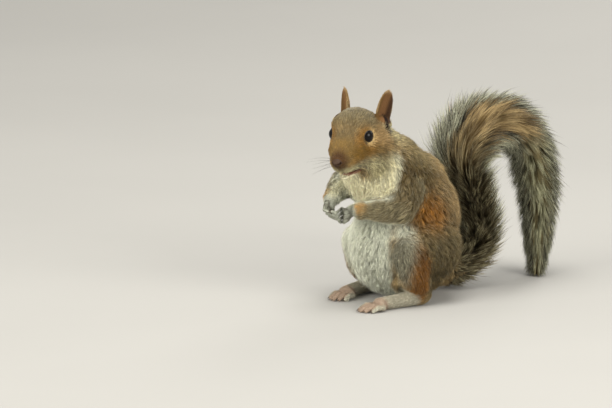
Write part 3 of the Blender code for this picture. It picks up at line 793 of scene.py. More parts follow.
class Paint:
    """The coat's colour at points, and how strongly it is ticked with dark and pale, laid on in turn."""

    def __init__(self, points, normals):
        self.points, self.normals = points, normals
        self.h, self.d = to_head(points), to_design(points)
        self.half_h, self.half_d = folded(self.h), folded(self.d)
        self.colour = np.tile(BACK, (len(points), 1))
        self.ticks = np.full(len(points), 1.0)

    def lay(self, mask, tone, ticking=None, strength=1.0):
        mask = mask * strength
        self.colour = mixed(self.colour, tone, mask[:, None])
        if ticking is not None:
            self.ticks = mixed(self.ticks, ticking, mask)

    def spots(self, places, rows):
        for centre, radii, soft, *coat in rows:
            self.lay(spot(places, centre, radii, soft), *coat)

    def body(self):
        """Back, flanks and thighs, and the white front from the throat to between the thighs."""
        d, half = self.d, self.half_d
        self.spots(half, BODY_SPOTS)
        around = np.degrees(np.arctan2(half[:, 0], -(d[:, 1] + 8)))
        wider = 6 * ramp(76, 90, d[:, 2]) + 24 * ramp(0, -12, d[:, 0]) * ramp(72, 60, d[:, 2])
        front = fade(38, 52, around - wider) * fade(116, 126, d[:, 2])
        self.arms = np.zeros(len(d))
        for shoulder, elbow, wrist, _, _ in ARMS.values():
            near = distance_to(d, shoulder + (0, 4, 0), elbow) - 12.5
            near = np.minimum(near, distance_to(d, elbow, wrist) - 9.5)
            self.arms = np.maximum(self.arms, fade(0, 2.5, near))
        front *= 1 - self.arms
        self.lay(front, WHITE, 0.12)
        self.lay(front * ramp(78, 96, d[:, 2]), CREAM, 0.12)
        under = ramp(0.35, 0.75, -self.normals[:, 2]) * fade(20, 40, d[:, 2])
        self.lay(under * spot(half, (0, -14, 10), (26, 30, 30), 0.3), WHITE, 0.2, 0.8)

    def limbs(self):
        """Arms, paws and feet."""
        d, half, arms = self.d, self.half_d, self.arms
        self.lay(arms, srgb(132, 122, 92), 0.9)
        # brown of the upper arm, partly painted shade between cheek and arm
        self.lay(arms * spot(half, (30, -22, 88), (16, 13, 14), 0.4), SHOULDER_BROWN_AND_SHADE, 1.0, 0.7)
        for name, (_, _, wrist, reach, _) in ARMS.items():
            outward = self.normals[:, 0] * SIDES[name]
            ahead = unit(reach)
            inner = ramp(-0.3, 0.5, -outward - 0.3 * self.normals[:, 1])
            self.lay(arms * inner * (d[:, 0] * SIDES[name] > 0), WHITE, 0.45)
            cuff = spot(d, wrist + (0, 2, 3), (10, 11, 8), 0.5) * (d[:, 2] > wrist[2] - 3)
            self.lay(cuff * ramp(-0.1, 0.5, outward), srgb(200, 160, 98), 0.3)
            hand = fade(7, 9, distance_to(d, wrist + ahead * 3, wrist + ahead * 18))
            self.lay(hand, srgb(174, 176, 160), 0.35)
        self.lay(spot(half, (35, -26, 63), (13, 10, 8.5), 0.5) * (d[:, 2] < 71), WHITE, 0.3)
        # painted shade in the grooves between the fingers
        off_finger = np.array([distance_to(d, *line) for line in finger_lines]).min(0)
        self.lay(ramp(1.2, 1.9, off_finger) * fade(2.6, 3.4, off_finger), srgb(84, 78, 66), 0.1, 0.8)
        for heel, _, ball, toes in FEET.values():
            foot = fade(8.5, 11, distance_to(d, mixed(heel, ball, 0.25), toes)) * fade(12, 16, d[:, 2])
            self.lay(foot, srgb(184, 178, 158), 0.35)
            pink = fade(6, 9, distance_to(d, ball + (0, 0, -2), toes)) * foot
            self.lay(pink, srgb(178, 134, 112), 0.1, 0.5)

    def head(self, bare_lips):
        on_head = fade(1.0, 1.25, out_of(self.h, *HEAD_COLOUR))
        self.lay(on_head, srgb(134, 113, 74), 0.8)
        self.spots(self.half_h, HEAD_SPOTS)
        for name in SIDES:
            off_axis, reach = off_eye(self.points, name)
            way = unit((self.points - EYE_AT[name]) @ HEAD_AXES.T)
            near = fade(6.6, 8.4, off_axis) * (reach < 11)
            back_and_low = np.clip(0.6 + 0.7 * way @ unit(np.array((0, 0.6, -0.6))), 0, 1)
            self.lay(near, srgb(222, 190, 132), 0.1, back_and_low)
            corner = ramp(0.72, 0.92, way @ unit(np.array((0, -0.9, -0.35))))
            dark_corner = fade(5.6, 8.2, off_axis) * (reach < 11) * corner
            self.lay(np.maximum(fade(4.7, 5.2, off_axis) * near, dark_corner), DARK_TICK, 0.1, 0.8)
        self.lay(spot(self.half_h, (0, -29, -5.5), (5.0, 6, 4.5), 0.6), NOSE_BROWN, 0.3, 0.45)
        self.lay(spot(self.half_h, NOSE_AT + (0, 2, 1.0), (8.0, 7, 6.6), 0.45), NOSE_BROWN, 0.1, 0.85)
        if bare_lips:
            self.lay(fade(0.5, 1.5, off_lips(self.points)), srgb(118, 88, 66), 0.0)

    def ears(self):
        h = self.h
        for ear in EARS.values():
            along, across, facing = ear.along(h), ear.across(h), ear.facing(self.normals)
            near = fade(8, 10, distance_to(h, ear.foot + ear.rise * 0.2, ear.tip)) * ramp(0.12, 0.22, along)
            inner = near * ramp(0.0, 0.45, facing)
            self.lay(near, srgb(132, 104, 62), 0.35)
            self.lay(inner, srgb(116, 86, 46), 0.0)
            self.lay(inner * fade(0.25, 0.7, np.abs(across - 0.1)), srgb(132, 94, 60), 0.0, 0.8)
            # painted shade in the back half of each cup, stronger on the left ear
            self.lay(inner * ramp(0.3, 0.7, across), EAR_CUP_SHADE, 0.0, ear.shade)
            # painted shade in the slot at the foot of each cup
            slot = fade(0.28, 0.40, along) * fade(0.20, 0.32, np.abs(across - 0.34))
            slot *= ramp(-0.16, -0.06, along) * ramp(-0.3, 0.1, facing)
            self.lay(slot * (distance_to(h, ear.foot, ear.tip) < 9), EAR_CUP_SHADE * 0.35, 0.0)
            rim = np.maximum(ramp(0.85, 1.0, np.abs(across)), ramp(0.88, 0.98, along))
            self.lay(near * rim * ramp(0.3, 0.5, along), srgb(206, 184, 140), 0.1, 0.25)


def markings(points, normals, bare_lips=False):
    """The coat's colour at points in the row frame, and how strongly it is ticked with dark and pale.

    The bare edges of the lips are coloured too when bare_lips is true.
    """
    paint = Paint(points, normals)
    paint.body()
    paint.limbs()
    paint.head(bare_lips)
    paint.ears()
    return paint.colour, paint.ticks


# ---- the coat ----
PATCH = 0.003  # the width of a tuft's patch in the coat's OFBake map
MOST_TUFT_TRIANGLES = 185_000
DENSITY = 0.89  # how much of the tables' number of tufts is kept
TUFTS_IN_LOCK = 12
IN_MOUTH = 0.05  # no tuft grows or crosses where the mouth is open by more than this share
SOLE_TOP = 1.2
STRAYS = 0.05  # the share of tufts in loose fur that stand off it
ROOT_DEPTH = 0.3  # tufts start this far under the skin
MIDDLE = 0.45  # the share of a tuft's length at which it bends
DARK_TIPS, TAN_TIPS = 0.30, 0.66  # the share of tufts with dark tips, and with dark or tan ones
TAIL_CLEAR = 30  # past this distance along the tail's line the body's tufts keep off the tail
TAIL_MARGIN = 1.0


class Surface:
    """The skin's triangles as arrays, with an unwrap of its own shape."""

    def __init__(self, obj):
        bpy.context.view_layer.objects.active = obj
        obj.select_set(True)
        bpy.ops.object.mode_set(mode="EDIT")
        bpy.ops.mesh.select_all(action="SELECT")
        bpy.ops.uv.smart_project(angle_limit=math.radians(80), island_margin=0.002)
        bpy.ops.object.mode_set(mode="OBJECT")
        mesh = obj.data
        mesh.calc_loop_triangles()
        self.points, self.normals = points_of(obj), normals_of(obj)
        self.corners = read(mesh.loop_triangles, "vertices", 3, np.int32)
        loops = read(mesh.loop_triangles, "loops", 3, np.int32)
        self.uv = read(mesh.uv_layers.active.uv, "vector", 2)[loops]
        a, b, c = (self.points[self.corners[:, i]] for i in range(3))
        self.area = norm(np.cross(b - a, c - a)) / 2
        self.centre = (a + b + c) / 3
        self.tree = BVHTree.FromPolygons(self.points.tolist(), self.corners.tolist())

    def scatter(self, per_mm2):
        """Random roots, with the expected number per square millimetre on each triangle."""
        sums = np.cumsum(self.area / MM**2 * per_mm2)
        count = int(sums[-1])
        at = (np.arange(count) + rng.random(count)) * sums[-1] / count
        face = np.minimum(np.searchsorted(sums, at), len(self.area) - 1)
        u, v = rng.random((2, count))
        flip = u + v > 1
        u, v = np.where(flip, 1 - u, u), np.where(flip, 1 - v, v)
        weights = np.stack([1 - u - v, u, v], 1)[:, :, None]
        root = (self.points[self.corners[face]] * weights).sum(1)
        normal = unit((self.normals[self.corners[face]] * weights).sum(1))
        return root, normal, (self.uv[face] * weights).sum(1)

    def settled(self, points, heights):
        """Points moved so that they stand at their heights over the nearest skin."""
        moved = np.empty_like(points)
        for i, point in enumerate(points.tolist()):
            below, normal, _, _ = self.tree.find_nearest(point)
            moved[i] = below + normal * heights[i]
        return moved

    def uv_at(self, points):
        """The unwrap's place for the triangle nearest to each point."""
        faces = [self.tree.find_nearest(point)[2] for point in points.tolist()]
        return self.uv.mean(1)[faces].astype(float)


def tuft_mesh(name, look, curves, widths, up, colours, uv):
    """Joined tufts: each is a three-sided spike along its curve's points, ending in a point."""
    count, steps = curves.shape[:2]
    along = unit(curves[:, -1] - curves[:, 0])
    side = unit(np.cross(along, up))
    top = unit(np.cross(side, along))
    rings = steps - 1
    angles = np.radians((90, 210, 330))
    spread = side[:, None, None] * np.cos(angles)[None, None, :, None]
    spread = spread + top[:, None, None] * np.sin(angles)[None, None, :, None] * 0.6
    ring_points = curves[:, :rings, None] + spread * widths[:, :rings, None, None] / 2
    points = np.concatenate([ring_points.reshape(count, rings * 3, 3), curves[:, -1:]], 1)
    per_tuft = rings * 3 + 1
    faces = []
    last = rings * 3 - 3
    for ring in range(0, last, 3):
        for k in range(3):
            a, b = ring + k, ring + (k + 1) % 3
            faces += [(a, b, b + 3), (a, b + 3, a + 3)]
    faces += [(last + k, last + (k + 1) % 3, per_tuft - 1) for k in range(3)]
    all_faces = (np.array(faces)[None] + (np.arange(count) * per_tuft)[:, None, None]).reshape(-1, 3)
    obj = mesh_object(name, points.reshape(-1, 3), all_faces)
    mesh = obj.data
    shade = np.concatenate([np.repeat(colours[:, :rings], 3, axis=1), colours[:, -1:]], 1)
    set_colours(mesh, shade.reshape(-1, 3))
    # each tuft is a small patch of the map, root at one edge and tip at the other
    u = np.tile((0.0, -0.5, 0.5), rings)
    v = np.repeat(np.linspace(-0.5, 0.3, rings), 3)
    offset = np.stack([np.append(u, 0.0), np.append(v, 0.5)], 1) * PATCH
    flat = np.clip(uv[:, None] + offset[None], 0.001, 0.999).reshape(-1, 2)
    layer = mesh.uv_layers.new(name="OFBake", do_init=False)
    layer.uv.foreach_set("vector", flat[all_faces.ravel()].astype(np.float32).ravel())
    mesh.polygons.foreach_set("use_smooth", np.ones(len(all_faces), bool))
    mesh.materials.append(look)
    return obj


def coat_pieces(name, slot, look, order, *tufts):
    """One or more pieces of coat, each under the limit of triangles, divided along an order."""
    curves = tufts[0]
    per_tuft = (curves.shape[1] - 2) * 6 + 3
    pieces = math.ceil(len(curves) * per_tuft / MOST_TUFT_TRIANGLES)
    for i, chosen in enumerate(np.array_split(np.argsort(order, kind="stable"), pieces)):
        label = name if pieces == 1 else f"{name}_{i + 1}"
        piece = tuft_mesh(label, look, *(rows[chosen] for rows in tufts))
        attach(piece, "root")


class Locks:
    """Tufts gathered in locks: each tuft belongs to the nearest of a few leading tufts."""

    def __init__(self, root, every):
        leaders = np.arange(0, len(root), every)
        self.of, _ = nearest(root[leaders], root)
        self.count = len(leaders)
        self.leader = leaders[self.of]

    def normal(self, spread):
        """One random number for each lock, given to all its tufts."""
        return rng.normal(0, spread, self.count)[self.of]

    def gathered(self, root, tip, strength):
        """Tips drawn towards the tip of their lock."""
        lean = (tip[self.leader] - root[self.leader]) - (tip - root)
        return tip + (lean + (root[self.leader] - root) * 0.7) * strength[:, None]


def fur_colours(root, normal, locks):
    """Colours along each tuft: dark at the root, the coat's colour, and a dark, tan or pale tip."""
    jitter = root + rng.normal(0, 0.9 * MM, root.shape)
    base, ticks = markings(jitter, normal)
    count = len(root)
    contrast = 0.3 + 0.7 * ticks
    tone = locks.normal(0.20) * contrast + rng.normal(0, 0.30, count) * contrast
    tone += 0.10 * wander(root, 7 * MM, 3)
    base = base * np.exp(tone)[:, None]
    lot = rng.random(count) - locks.normal(0.10)
    dark_tip, tan_tip = lot < DARK_TIPS, lot < TAN_TIPS
    tick = np.where(dark_tip[:, None], DARK_TICK, np.where(tan_tip[:, None], TAN_TICK, PALE_TICK))
    strength = (ticks * np.where(dark_tip, 0.75, np.where(tan_tip, 0.40, 0.62)))[:, None]
    tip = mixed(base * 1.10, tick, strength)
    dark = 0.36 + 0.42 * (1 - ticks)[:, None]
    return np.stack([base * dark, base * (1.0 - 0.08 * ticks)[:, None], tip], 1)


def bare_places(points):
    """1 where hair grows, 0 on the eyes, nose pad, lips and soles."""
    h, d = to_head(points), to_design(points)
    within, opened = in_mouth(h)
    off_pad = (off_nose(h) > 0.95) | (h[:, 1] > NOSE_AT[1] + 4)
    grows = off_pad & (within * opened < IN_MOUTH) & (d[:, 2] > SOLE_TOP)
    for name in SIDES:
        off_axis, reach = off_eye(points, name)
        grows &= (reach >= 9) | (off_axis >= 5.1)
    return grows.astype(float)


def flow_round_openings(root, lie):
    """Hair parts round eyes and mouth, and is shorter there. Returns its lie and the share of its length."""
    share = np.ones(len(root))
    for name in SIDES:
        off_axis, reach = off_eye(root, name)
        near = fade(5.5, 9.5, off_axis) * (reach < 12)
        away = unit(root - EYE_AT[name])
        lie = mixed(lie, unit(away + 0.35 * lie), near[:, None])
        share = np.minimum(share, np.where(reach < 12, mixed(0.42, 1.0, ramp(5, 10, off_axis)), 1.0))
    from_lips = off_lips(root)
    share *= mixed(0.55, 1.0, ramp(0.3, 2.4, from_lips))
    return mixed(lie, unit(lie * 0.2 + HEAD_BACK), fade(1.0, 3.5, from_lips)[:, None]), share


def far_from_tail(points):
    """How far points are from the bare tail's surface, past its root."""
    found = np.full(len(points), 1.0)
    for s in np.arange(TAIL_CLEAR * MM, tail.length, 3 * MM):
        found = np.minimum(found, norm(points - tail.at(s)[0]) - core_radius(s))
    return np.maximum(found - TAIL_MARGIN * MM, 0)


def near_ear(points):
    h = to_head(points)
    found = np.zeros(len(points), bool)
    for ear in EARS.values():
        found |= (distance_to(h, ear.foot, ear.tip) < 9) & (ear.along(h) > 0.15)
    return found & (out_of(h, *SKULL) > 1)


def ear_inside(points, normals):
    """1 in the cup of an ear, where no tufts grow."""
    inside = np.zeros(len(points))
    for ear in EARS.values():
        own_side = to_head(points)[:, 0] * ear.side > 0
        inside = np.maximum(inside, ramp(0, 0.45, ear.facing(normals)) * own_side)
    return inside * near_ear(points)


def on_limb(points):
    d = to_design(points)
    near = np.full(len(points), 1e3)
    for shoulder, elbow, wrist, reach, _ in ARMS.values():
        near = np.minimum(near, distance_to(d, mixed(shoulder, elbow, 0.4), elbow) - 12)
        near = np.minimum(near, distance_to(d, elbow, wrist) - 9)
        near = np.minimum(near, distance_to(d, wrist, wrist + unit(reach) * 18) - 8)
    for heel, _, _, toes in FEET.values():
        near = np.minimum(near, distance_to(d, heel, toes) - 8)
    return near < 0


def body_coat(surface, look):
    """Tufts all over the skin but the tail."""
    points = surface.centre
    normals = unit(surface.normals[surface.corners].sum(1))
    density = coat_at(points)[1][:, 3] * bare_places(points) * DENSITY
    density *= ramp(0, 3 * MM, far_from_tail(points)) * (1 - ear_inside(points, normals))
    root, normal, uv = surface.scatter(density)
    count = len(root)
    locks = Locks(root, TUFTS_IN_LOCK)
    lie, coat = coat_at(root)
    lie, share = flow_round_openings(root, lie)
    lie = unit(lie - normal * (lie * normal).sum(1)[:, None])
    depth, length, width = (coat[:, i] * MM for i in range(3))
    loose = ramp(1.5, 5, depth / MM)
    swirl = mixed(0.10, 0.16, loose) * wander(root, 11 * MM, 1) + 0.12 * wander(root, 4 * MM, 2)
    swirl = swirl + mixed(0.06, 0.12, loose) * locks.normal(1.0)
    lie = turned(lie, normal, swirl + rng.normal(0, 0.13, count))
    length = length * share * rng.uniform(0.75, 1.15, count)
    height = depth * np.clip(rng.uniform(0.55, 0.95, count) + locks.normal(0.08), 0.35, 1.08) * share
    stray = (rng.random(count) < STRAYS) & (loose > 0.3)
    height = np.where(stray, depth * 1.15, height)
    on_ear = near_ear(root)
    middle = root + lie * (length * MIDDLE)[:, None]
    tip = root + lie * length[:, None]
    crossing = [np.multiply(*in_mouth(to_head(p))) for p in (tip, middle)]
    keep = np.maximum(*crossing) < IN_MOUTH
    strength = np.where(stray, 0.0, np.clip((length / MM - 2.0) / 12, 0.10, 0.45))
    straight = [middle + normal * (height * 0.6)[:, None], tip + normal * (height * 0.9)[:, None]]
    settled = [surface.settled(middle, height * 0.78), surface.settled(tip, height)]
    middle, tip = (np.where(on_ear[:, None], a, b) for a, b in zip(straight, settled))
    tip = locks.gathered(root, tip, strength)
    middle = locks.gathered(root, middle, strength * 0.5)
    curves = np.stack([root - normal * ROOT_DEPTH * MM, middle, tip], 1)
    curves[..., 2] = np.maximum(curves[..., 2], 0.15 * MM)
    widths = width[:, None] * np.array((1.0, 0.85, 0.0)) * rng.uniform(0.75, 1.25, (count, 1))
    widths = widths * np.where(stray, 0.6, 1.0)[:, None]
    colours = fur_colours(root, normal, locks)
    h, d = to_head(root), to_design(root)
    on_head = (out_of(h, *HEAD_COAT) < 1) | on_ear
    limbs = ~on_head & on_limb(root)
    low = ~on_head & ~limbs & (d[:, 2] < 64)
    for name, chosen, slot in (
        ("coat_head", on_head, "coat_face"),
        ("coat_limbs", limbs, "coat_arm_left"),
        ("coat_hips", low, "coat_thigh_left"),
        ("coat_shoulders", ~(on_head | limbs | low), "coat_body"),
    ):
        rows = (d[:, 0], curves, widths, normal, colours, uv)
        coat_pieces(name, slot, look, *(row[chosen & keep] for row in rows))


# ---- the tail's coat ----
# the tail's rise: its own dark hair, darkened further with painted shade from the body
RISE_DARK_AND_SHADE = srgb(44, 38, 24)
RISE_MID = srgb(74, 65, 42)
RISE_TIP = srgb(132, 124, 94)
CORE_BROWN = srgb(138, 113, 72)
CORE_TAN = srgb(156, 134, 92)
BAND = srgb(34, 31, 24)
SILVER = srgb(186, 186, 158)
FALL_BASE = srgb(120, 110, 78)
FALL_DARK = srgb(66, 58, 40)
FALL_TIP = srgb(186, 184, 150)
TAIL_FACE = unit(np.array((0.75, -0.63, 0.15)))  # the way that one flat side of the tail is turned
TAIL_HAIRS = 38_000
TAIL_ROOT = 6  # where its long hair starts, in millimetres along its line
TAIL_HAIR_END = 0.96  # no hair starts past this share of the line
TAIL_LOCKS = 1500
TAIL_SWEEP = 24  # how far back along the tail a hair reaches
TAIL_UNDER = 0.30  # the share of short hairs under the others
TAIL_WISPS = 0.10  # the share of the rest that stand out past the edge
TAIL_LEAST = np.array((13, 10)) * MM  # the coat's least half-width and half-thickness, at the tail's end
HAIR_STEPS = np.array((0, 0.40, 0.74, 1.0))


def tail_locks(s, theta, start):
    """The lock that each hair belongs to, as numbers, and the angle that the lock has round the tail."""
    def key(along, angle):
        return np.stack([along / (7 * MM), 2.6 * np.cos(angle), 2.6 * np.sin(angle)], 1)

    lock_s = rng.uniform(start, tail.length, TAIL_LOCKS)
    lock_theta = rng.random(TAIL_LOCKS) * 2 * math.pi
    lock, _ = nearest(key(lock_s, lock_theta), key(s, theta))
    return lock, lock_theta[lock]


def tail_coat(surface, look):
    """Long banded hairs, swept back along the tail and out to the edge of its coat."""
    count = TAIL_HAIRS
    start = TAIL_ROOT * MM
    s = start + (tail.length * TAIL_HAIR_END - start) * (np.arange(count) + rng.random(count)) / count
    theta = rng.random(count) * 2 * math.pi
    lock, lock_theta = tail_locks(s, theta, start)
    lock_turn = rng.normal(0, 0.15, TAIL_LOCKS)[lock]
    lock_reach = rng.uniform(0.82, 1.08, TAIL_LOCKS)[lock]
    lock_tone = rng.normal(0, 1, TAIL_LOCKS)[lock]
    draw = (lock_theta - theta + math.pi) % (2 * math.pi) - math.pi
    sweep = TAIL_SWEEP * MM * rng.uniform(0.7, 1.15, count) * mixed(0.25, 1.0, ramp(0, 55 * MM, s))
    left = tail.length - s + rng.uniform(-15, 3, count) * MM
    sweep = np.maximum(np.minimum(sweep, left), 5 * MM)
    reach = lock_reach * rng.uniform(0.78, 1.0, count)
    under = rng.random(count) < TAIL_UNDER
    reach = np.where(under, reach * rng.uniform(0.45, 0.85, count), reach)
    wisp = ~under & (rng.random(count) < TAIL_WISPS)
    reach = np.where(wisp, reach * rng.uniform(1.08, 1.24, count), reach)
    reach *= mixed(1.0, rng.uniform(0.3, 1.0, count), ramp(tail.length - 24 * MM, tail.length, s + sweep))
    bend = rng.uniform(0.80, 1.25, count)
    curves = []
    for t in HAIR_STEPS:
        point, _, out, half = tail.at(s + sweep * t)
        angle = theta + (lock_turn + draw * 0.5) * t**1.3
        c, sn = np.cos(angle), np.sin(angle)
        half = np.maximum(half, TAIL_LEAST)
        edge = 1 / np.sqrt((c / half[:, 0]) ** 2 + (sn / half[:, 1]) ** 2)
        radius = mixed(core_radius(s) * 0.7, edge * reach, t**bend)
        curves.append(point + ACROSS * (radius * c)[:, None] + out * (radius * sn)[:, None])
    curves = np.stack(curves, 1)
    waves = np.stack([wander(curves[:, -1], 6 * MM, 8 + i) for i in range(3)], 1)
    curves += waves[:, None] * (HAIR_STEPS[None, :, None] * 0.9 * MM)
    curves[..., 2] = np.maximum(curves[..., 2], 0.2 * MM)
    up = ACROSS * np.cos(theta)[:, None] + tail.at(s)[2] * np.sin(theta)[:, None]
    widths = np.array((0.5, 0.48, 0.42, 0.0)) * MM * rng.uniform(0.7, 1.25, (count, 1))
    widths *= np.where(wisp, 0.75, 1.0)[:, None]
    colours = tail_colours(s + sweep * 0.6, up, under, lock_tone)
    uv = surface.uv_at(curves[:, 0])
    coat_pieces("coat_tail", "tail_arch", look, s, curves, widths, up, colours, uv)


def tail_colours(s, radial, under, tone):
    """Bands along the hairs: a brown flat side, and black then silver towards the edges.

    The tail's rise, close behind the back, is dark, partly its own dark hair and partly painted shade from
    the body, and its fall is streaked grey-brown.
    """
    def some(odds, first, second):
        return np.where((rng.random(len(s)) < odds)[:, None], first, second)

    share = (s / tail.length)[:, None]
    along = tail.at(s)[1]
    face_way = unit(TAIL_FACE - along * (along @ TAIL_FACE)[:, None])
    facing = np.abs((radial * face_way).sum(1))[:, None]
    wide = ramp(0.44, 0.54, share)  # the fringe is wider past the crook
    margin = fade(mixed(0.60, 0.82, wide), mixed(0.74, 0.92, wide), facing)
    face = ramp(mixed(0.78, 0.90, wide), mixed(0.90, 0.97, wide), facing)
    # where the rise takes its dark colours, partly painted shade from the body
    rise = fade(0.32, 0.46, share)
    fall = ramp(0.55, 0.68, share)
    streak = (tone > 0.35)[:, None]
    root = mixed(mixed(CORE_BROWN * 0.6, RISE_DARK_AND_SHADE, rise), FALL_BASE * 0.6, fall)
    band = mixed(BAND, CORE_BROWN, face)
    band = mixed(mixed(band, RISE_DARK_AND_SHADE, rise), np.where(streak, FALL_DARK, FALL_BASE), fall)
    margin = margin * ramp(0.08, 0.20, share)
    silver = some(0.38, BAND * 2.5, SILVER)
    grizzle = some(0.5, BAND * 1.5, CORE_BROWN)
    high = mixed(grizzle, np.where((tone < -0.3)[:, None], CORE_BROWN * 0.6, CORE_TAN), face)
    high = mixed(high, silver, margin)
    high = mixed(high, some(0.35, RISE_TIP, RISE_MID), rise * (1 - 0.85 * margin))
    high = mixed(high, np.where(streak, FALL_BASE, FALL_TIP), fall * (1 - margin))
    high = np.where(under[:, None], mixed(band, CORE_BROWN, 0.25), high)
    shade = np.exp(tone * 0.12 + rng.normal(0, 0.18, len(s)))[:, None, None]
    middle = mixed(high, BAND, 0.45 * margin * (1 - rise))
    return np.stack([root, band, middle, high * 1.1], 1) * shade


# ---- materials ----
def set_inputs(node, **values):
    """Sets a node's inputs by name, with _ for the spaces in them."""
    for name, value in values.items():
        node.inputs[name.replace("_", " ")].default_value = value


def material(name, tone, roughness, variation=(0.75, 1.25), grain=600, bump=(0.6, 0.0001), detail=4, **looks):
    """A surface whose colour varies with a fine noise, from low to high, and that has bumps of a strength and
    a height. Without a tone it takes the colours kept in the mesh."""
    made = bpy.data.materials.new(name)
    made.use_nodes = True
    nodes, links = made.node_tree.nodes, made.node_tree.links
    shader = nodes["Principled BSDF"]
    set_inputs(shader, Roughness=roughness, **looks)
    if tone is None:
        colour = nodes.new("ShaderNodeAttribute")
        colour.attribute_name = "coat"
    else:
        colour = nodes.new("ShaderNodeRGB")
        colour.outputs[0].default_value = (*tone, 1)
    place = nodes.new("ShaderNodeTexCoord")
    fine = nodes.new("ShaderNodeTexNoise")
    set_inputs(fine, Scale=grain, Detail=detail)
    links.new(place.outputs["Object"], fine.inputs["Vector"])
    span = nodes.new("ShaderNodeMapRange")
    set_inputs(span, From_Min=0.3, From_Max=0.7, To_Min=variation[0], To_Max=variation[1])
    links.new(fine.outputs["Fac"], span.inputs["Value"])
    scaled = nodes.new("ShaderNodeVectorMath")
    scaled.operation = "SCALE"
    links.new(colour.outputs["Color"], scaled.inputs[0])
    links.new(span.outputs["Result"], scaled.inputs["Scale"])
    links.new(scaled.outputs["Vector"], shader.inputs["Base Color"])
    if bump:
        bumps = nodes.new("ShaderNodeBump")
        set_inputs(bumps, Strength=bump[0], Distance=bump[1])
        links.new(fine.outputs["Fac"], bumps.inputs["Height"])
        links.new(bumps.outputs["Normal"], shader.inputs["Normal"])
    return made


# ---- eyes, nose, mouth, whiskers and claws ----
WHISKER_ROWS, WHISKERS_IN_ROW = 3, 4
WHISKER_DROOP = np.array((0, 0.28, -0.22))
LID_STEPS = 48


def own_piece(obj, look, slot, *replaced):
    obj.data.materials.append(look)
    obj.data.shade_smooth()
    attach(obj, "root")
    if replaced:
        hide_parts(*replaced)


def add_eye(name, eye_look, lid_look):
    """The eyeball and the dark rims of its lids, which draw out to a corner in front."""
    node = "eye_" + name
    bm = bmesh.new()
    place = Matrix.Translation(Vector(EYE_AT[name]))
    bmesh.ops.create_uvsphere(bm, u_segments=64, v_segments=48, radius=EYE_RADIUS * MM, matrix=place)
    own_piece(bm_object("eyeball_" + name, bm), eye_look, node, node)
    axis = EYE_AXIS[name]
    fore = unit(np.array((0, -1, -0.45)) @ HEAD_AXES)
    fore = unit(fore - axis * (fore @ axis))
    over = np.cross(axis, fore)
    over = -over if over[2] < 0 else over
    around, radii = [], []
    for k in range(LID_STEPS + 1):
        a = 2 * math.pi * k / LID_STEPS
        corner = max(0, math.cos(a)) ** 10
        open_by = EYE_OPEN * (0.94 + 0.05 * abs(math.cos(a)) + 0.16 * corner)
        way = axis * math.cos(open_by) + (fore * math.cos(a) + over * math.sin(a)) * math.sin(open_by)
        around.append(EYE_AT[name] + way * (EYE_RADIUS + 0.05) * MM)
        radii.append(0.30 + 0.10 * max(0, math.sin(a)) + 0.12 * corner)
    bm = bmesh.new()
    tube(bm, around, radii, 10)
    own_piece(bm_object("eyelids_" + name, bm), lid_look, node)


def add_nose(look):
    """The bare pad: two nostrils that open sideways, and a groove between them."""
    bm = bmesh.new()
    bmesh.ops.create_icosphere(bm, subdivisions=5, radius=1)
    pad = bm_object("nose_pad", bm)
    p = points_of(pad)
    x, y, z = p.T
    shape = p * NOSE_HALF
    shape[:, 0] *= 1 - 0.42 * ramp(0.1, -1, z) - 0.12 * ramp(0.3, 1, z)
    shape[:, 1] += 1.3 * ramp(0.3, 1, z) * (y < 0.2) + 1.0 * np.abs(x) ** 2
    for side in SIDES.values():
        along = norm((p[:, [0, 2]] - (0.56 * side, -0.05)) / (0.34, 0.20))
        comma = norm((p[:, [0, 2]] - (0.80 * side, 0.08)) / (0.14, 0.34))
        dent = fade(0.35, 1.0, np.minimum(along, comma)) * (y < 0.3)
        shape += dent[:, None] * (-0.7 * side, 2.0, 0.1)
        rim = np.exp(-(((along - 1.35) / 0.35) ** 2)) * (y < 0) * (z > -0.1)
        shape[:, 1] -= 0.25 * rim
    groove = fade(0, 0.13, np.abs(x)) * ramp(0.25, -0.2, z) * (y < 0)
    shape[:, 1] += 0.6 * groove
    set_points(pad, from_head(shape + NOSE_AT))
    own_piece(pad, look, "nose", "nose")


def add_lip(edge, look):
    """The bare edge of the lower lip. The upper lip is furred."""
    share = np.sqrt(np.clip(1 - (edge[:, 0] / 10.0) ** 2, 0, 1))
    inward = unit(np.array((0, -8, 0)) - edge * (1, 1, 0))
    rim = edge + inward * 0.4 + np.array((0, 0, 0.1))
    bm = bmesh.new()
    tube(bm, from_head(rim), 0.12 + 0.45 * share, 12)
    own_piece(bm_object("lower_lip", bm), look, "coat_face")


def add_claws(part, slot, length, thick, look):
    bm = bmesh.new()
    t = np.linspace(-0.25, 1, 7)[:, None]
    for tip, along, curl in claw_places[part]:
        line = tip + (unit(along) * t + unit(curl) * (0.35 * np.maximum(t, 0) ** 2)) * length * MM
        line[:, 2] = np.maximum(line[:, 2], 0.35 * MM)
        tube(bm, line, thick * (1.02 - np.maximum(t[:, 0], 0)) ** 0.7)
    own_piece(bm_object("claws_" + part, bm), look, slot)


def add_whiskers(look):
    bm = bmesh.new()
    t = np.linspace(0, 1, 9)[:, None]
    for side in SIDES.values():
        for row in range(WHISKER_ROWS):
            for column in range(WHISKERS_IN_ROW):
                root = np.array((side * (6.0 + column * 1.3), -24 + column * 2.4, -14 - row * 2.0))
                out = 0.86 + rng.uniform(-0.1, 0.1)
                back = 0.34 + rng.uniform(-0.2, 0.25)
                down = -0.12 - 0.12 * row + rng.uniform(-0.1, 0.1)
                way = unit(np.array((side * out, back, down)))
                line = root + (way * t + WHISKER_DROOP * t**2 * 0.6) * rng.uniform(20, 30)
                tube(bm, from_head(line), np.linspace(0.075, 0.02, 9), 4)
    own_piece(bm_object("whiskers", bm), look, "coat_face")


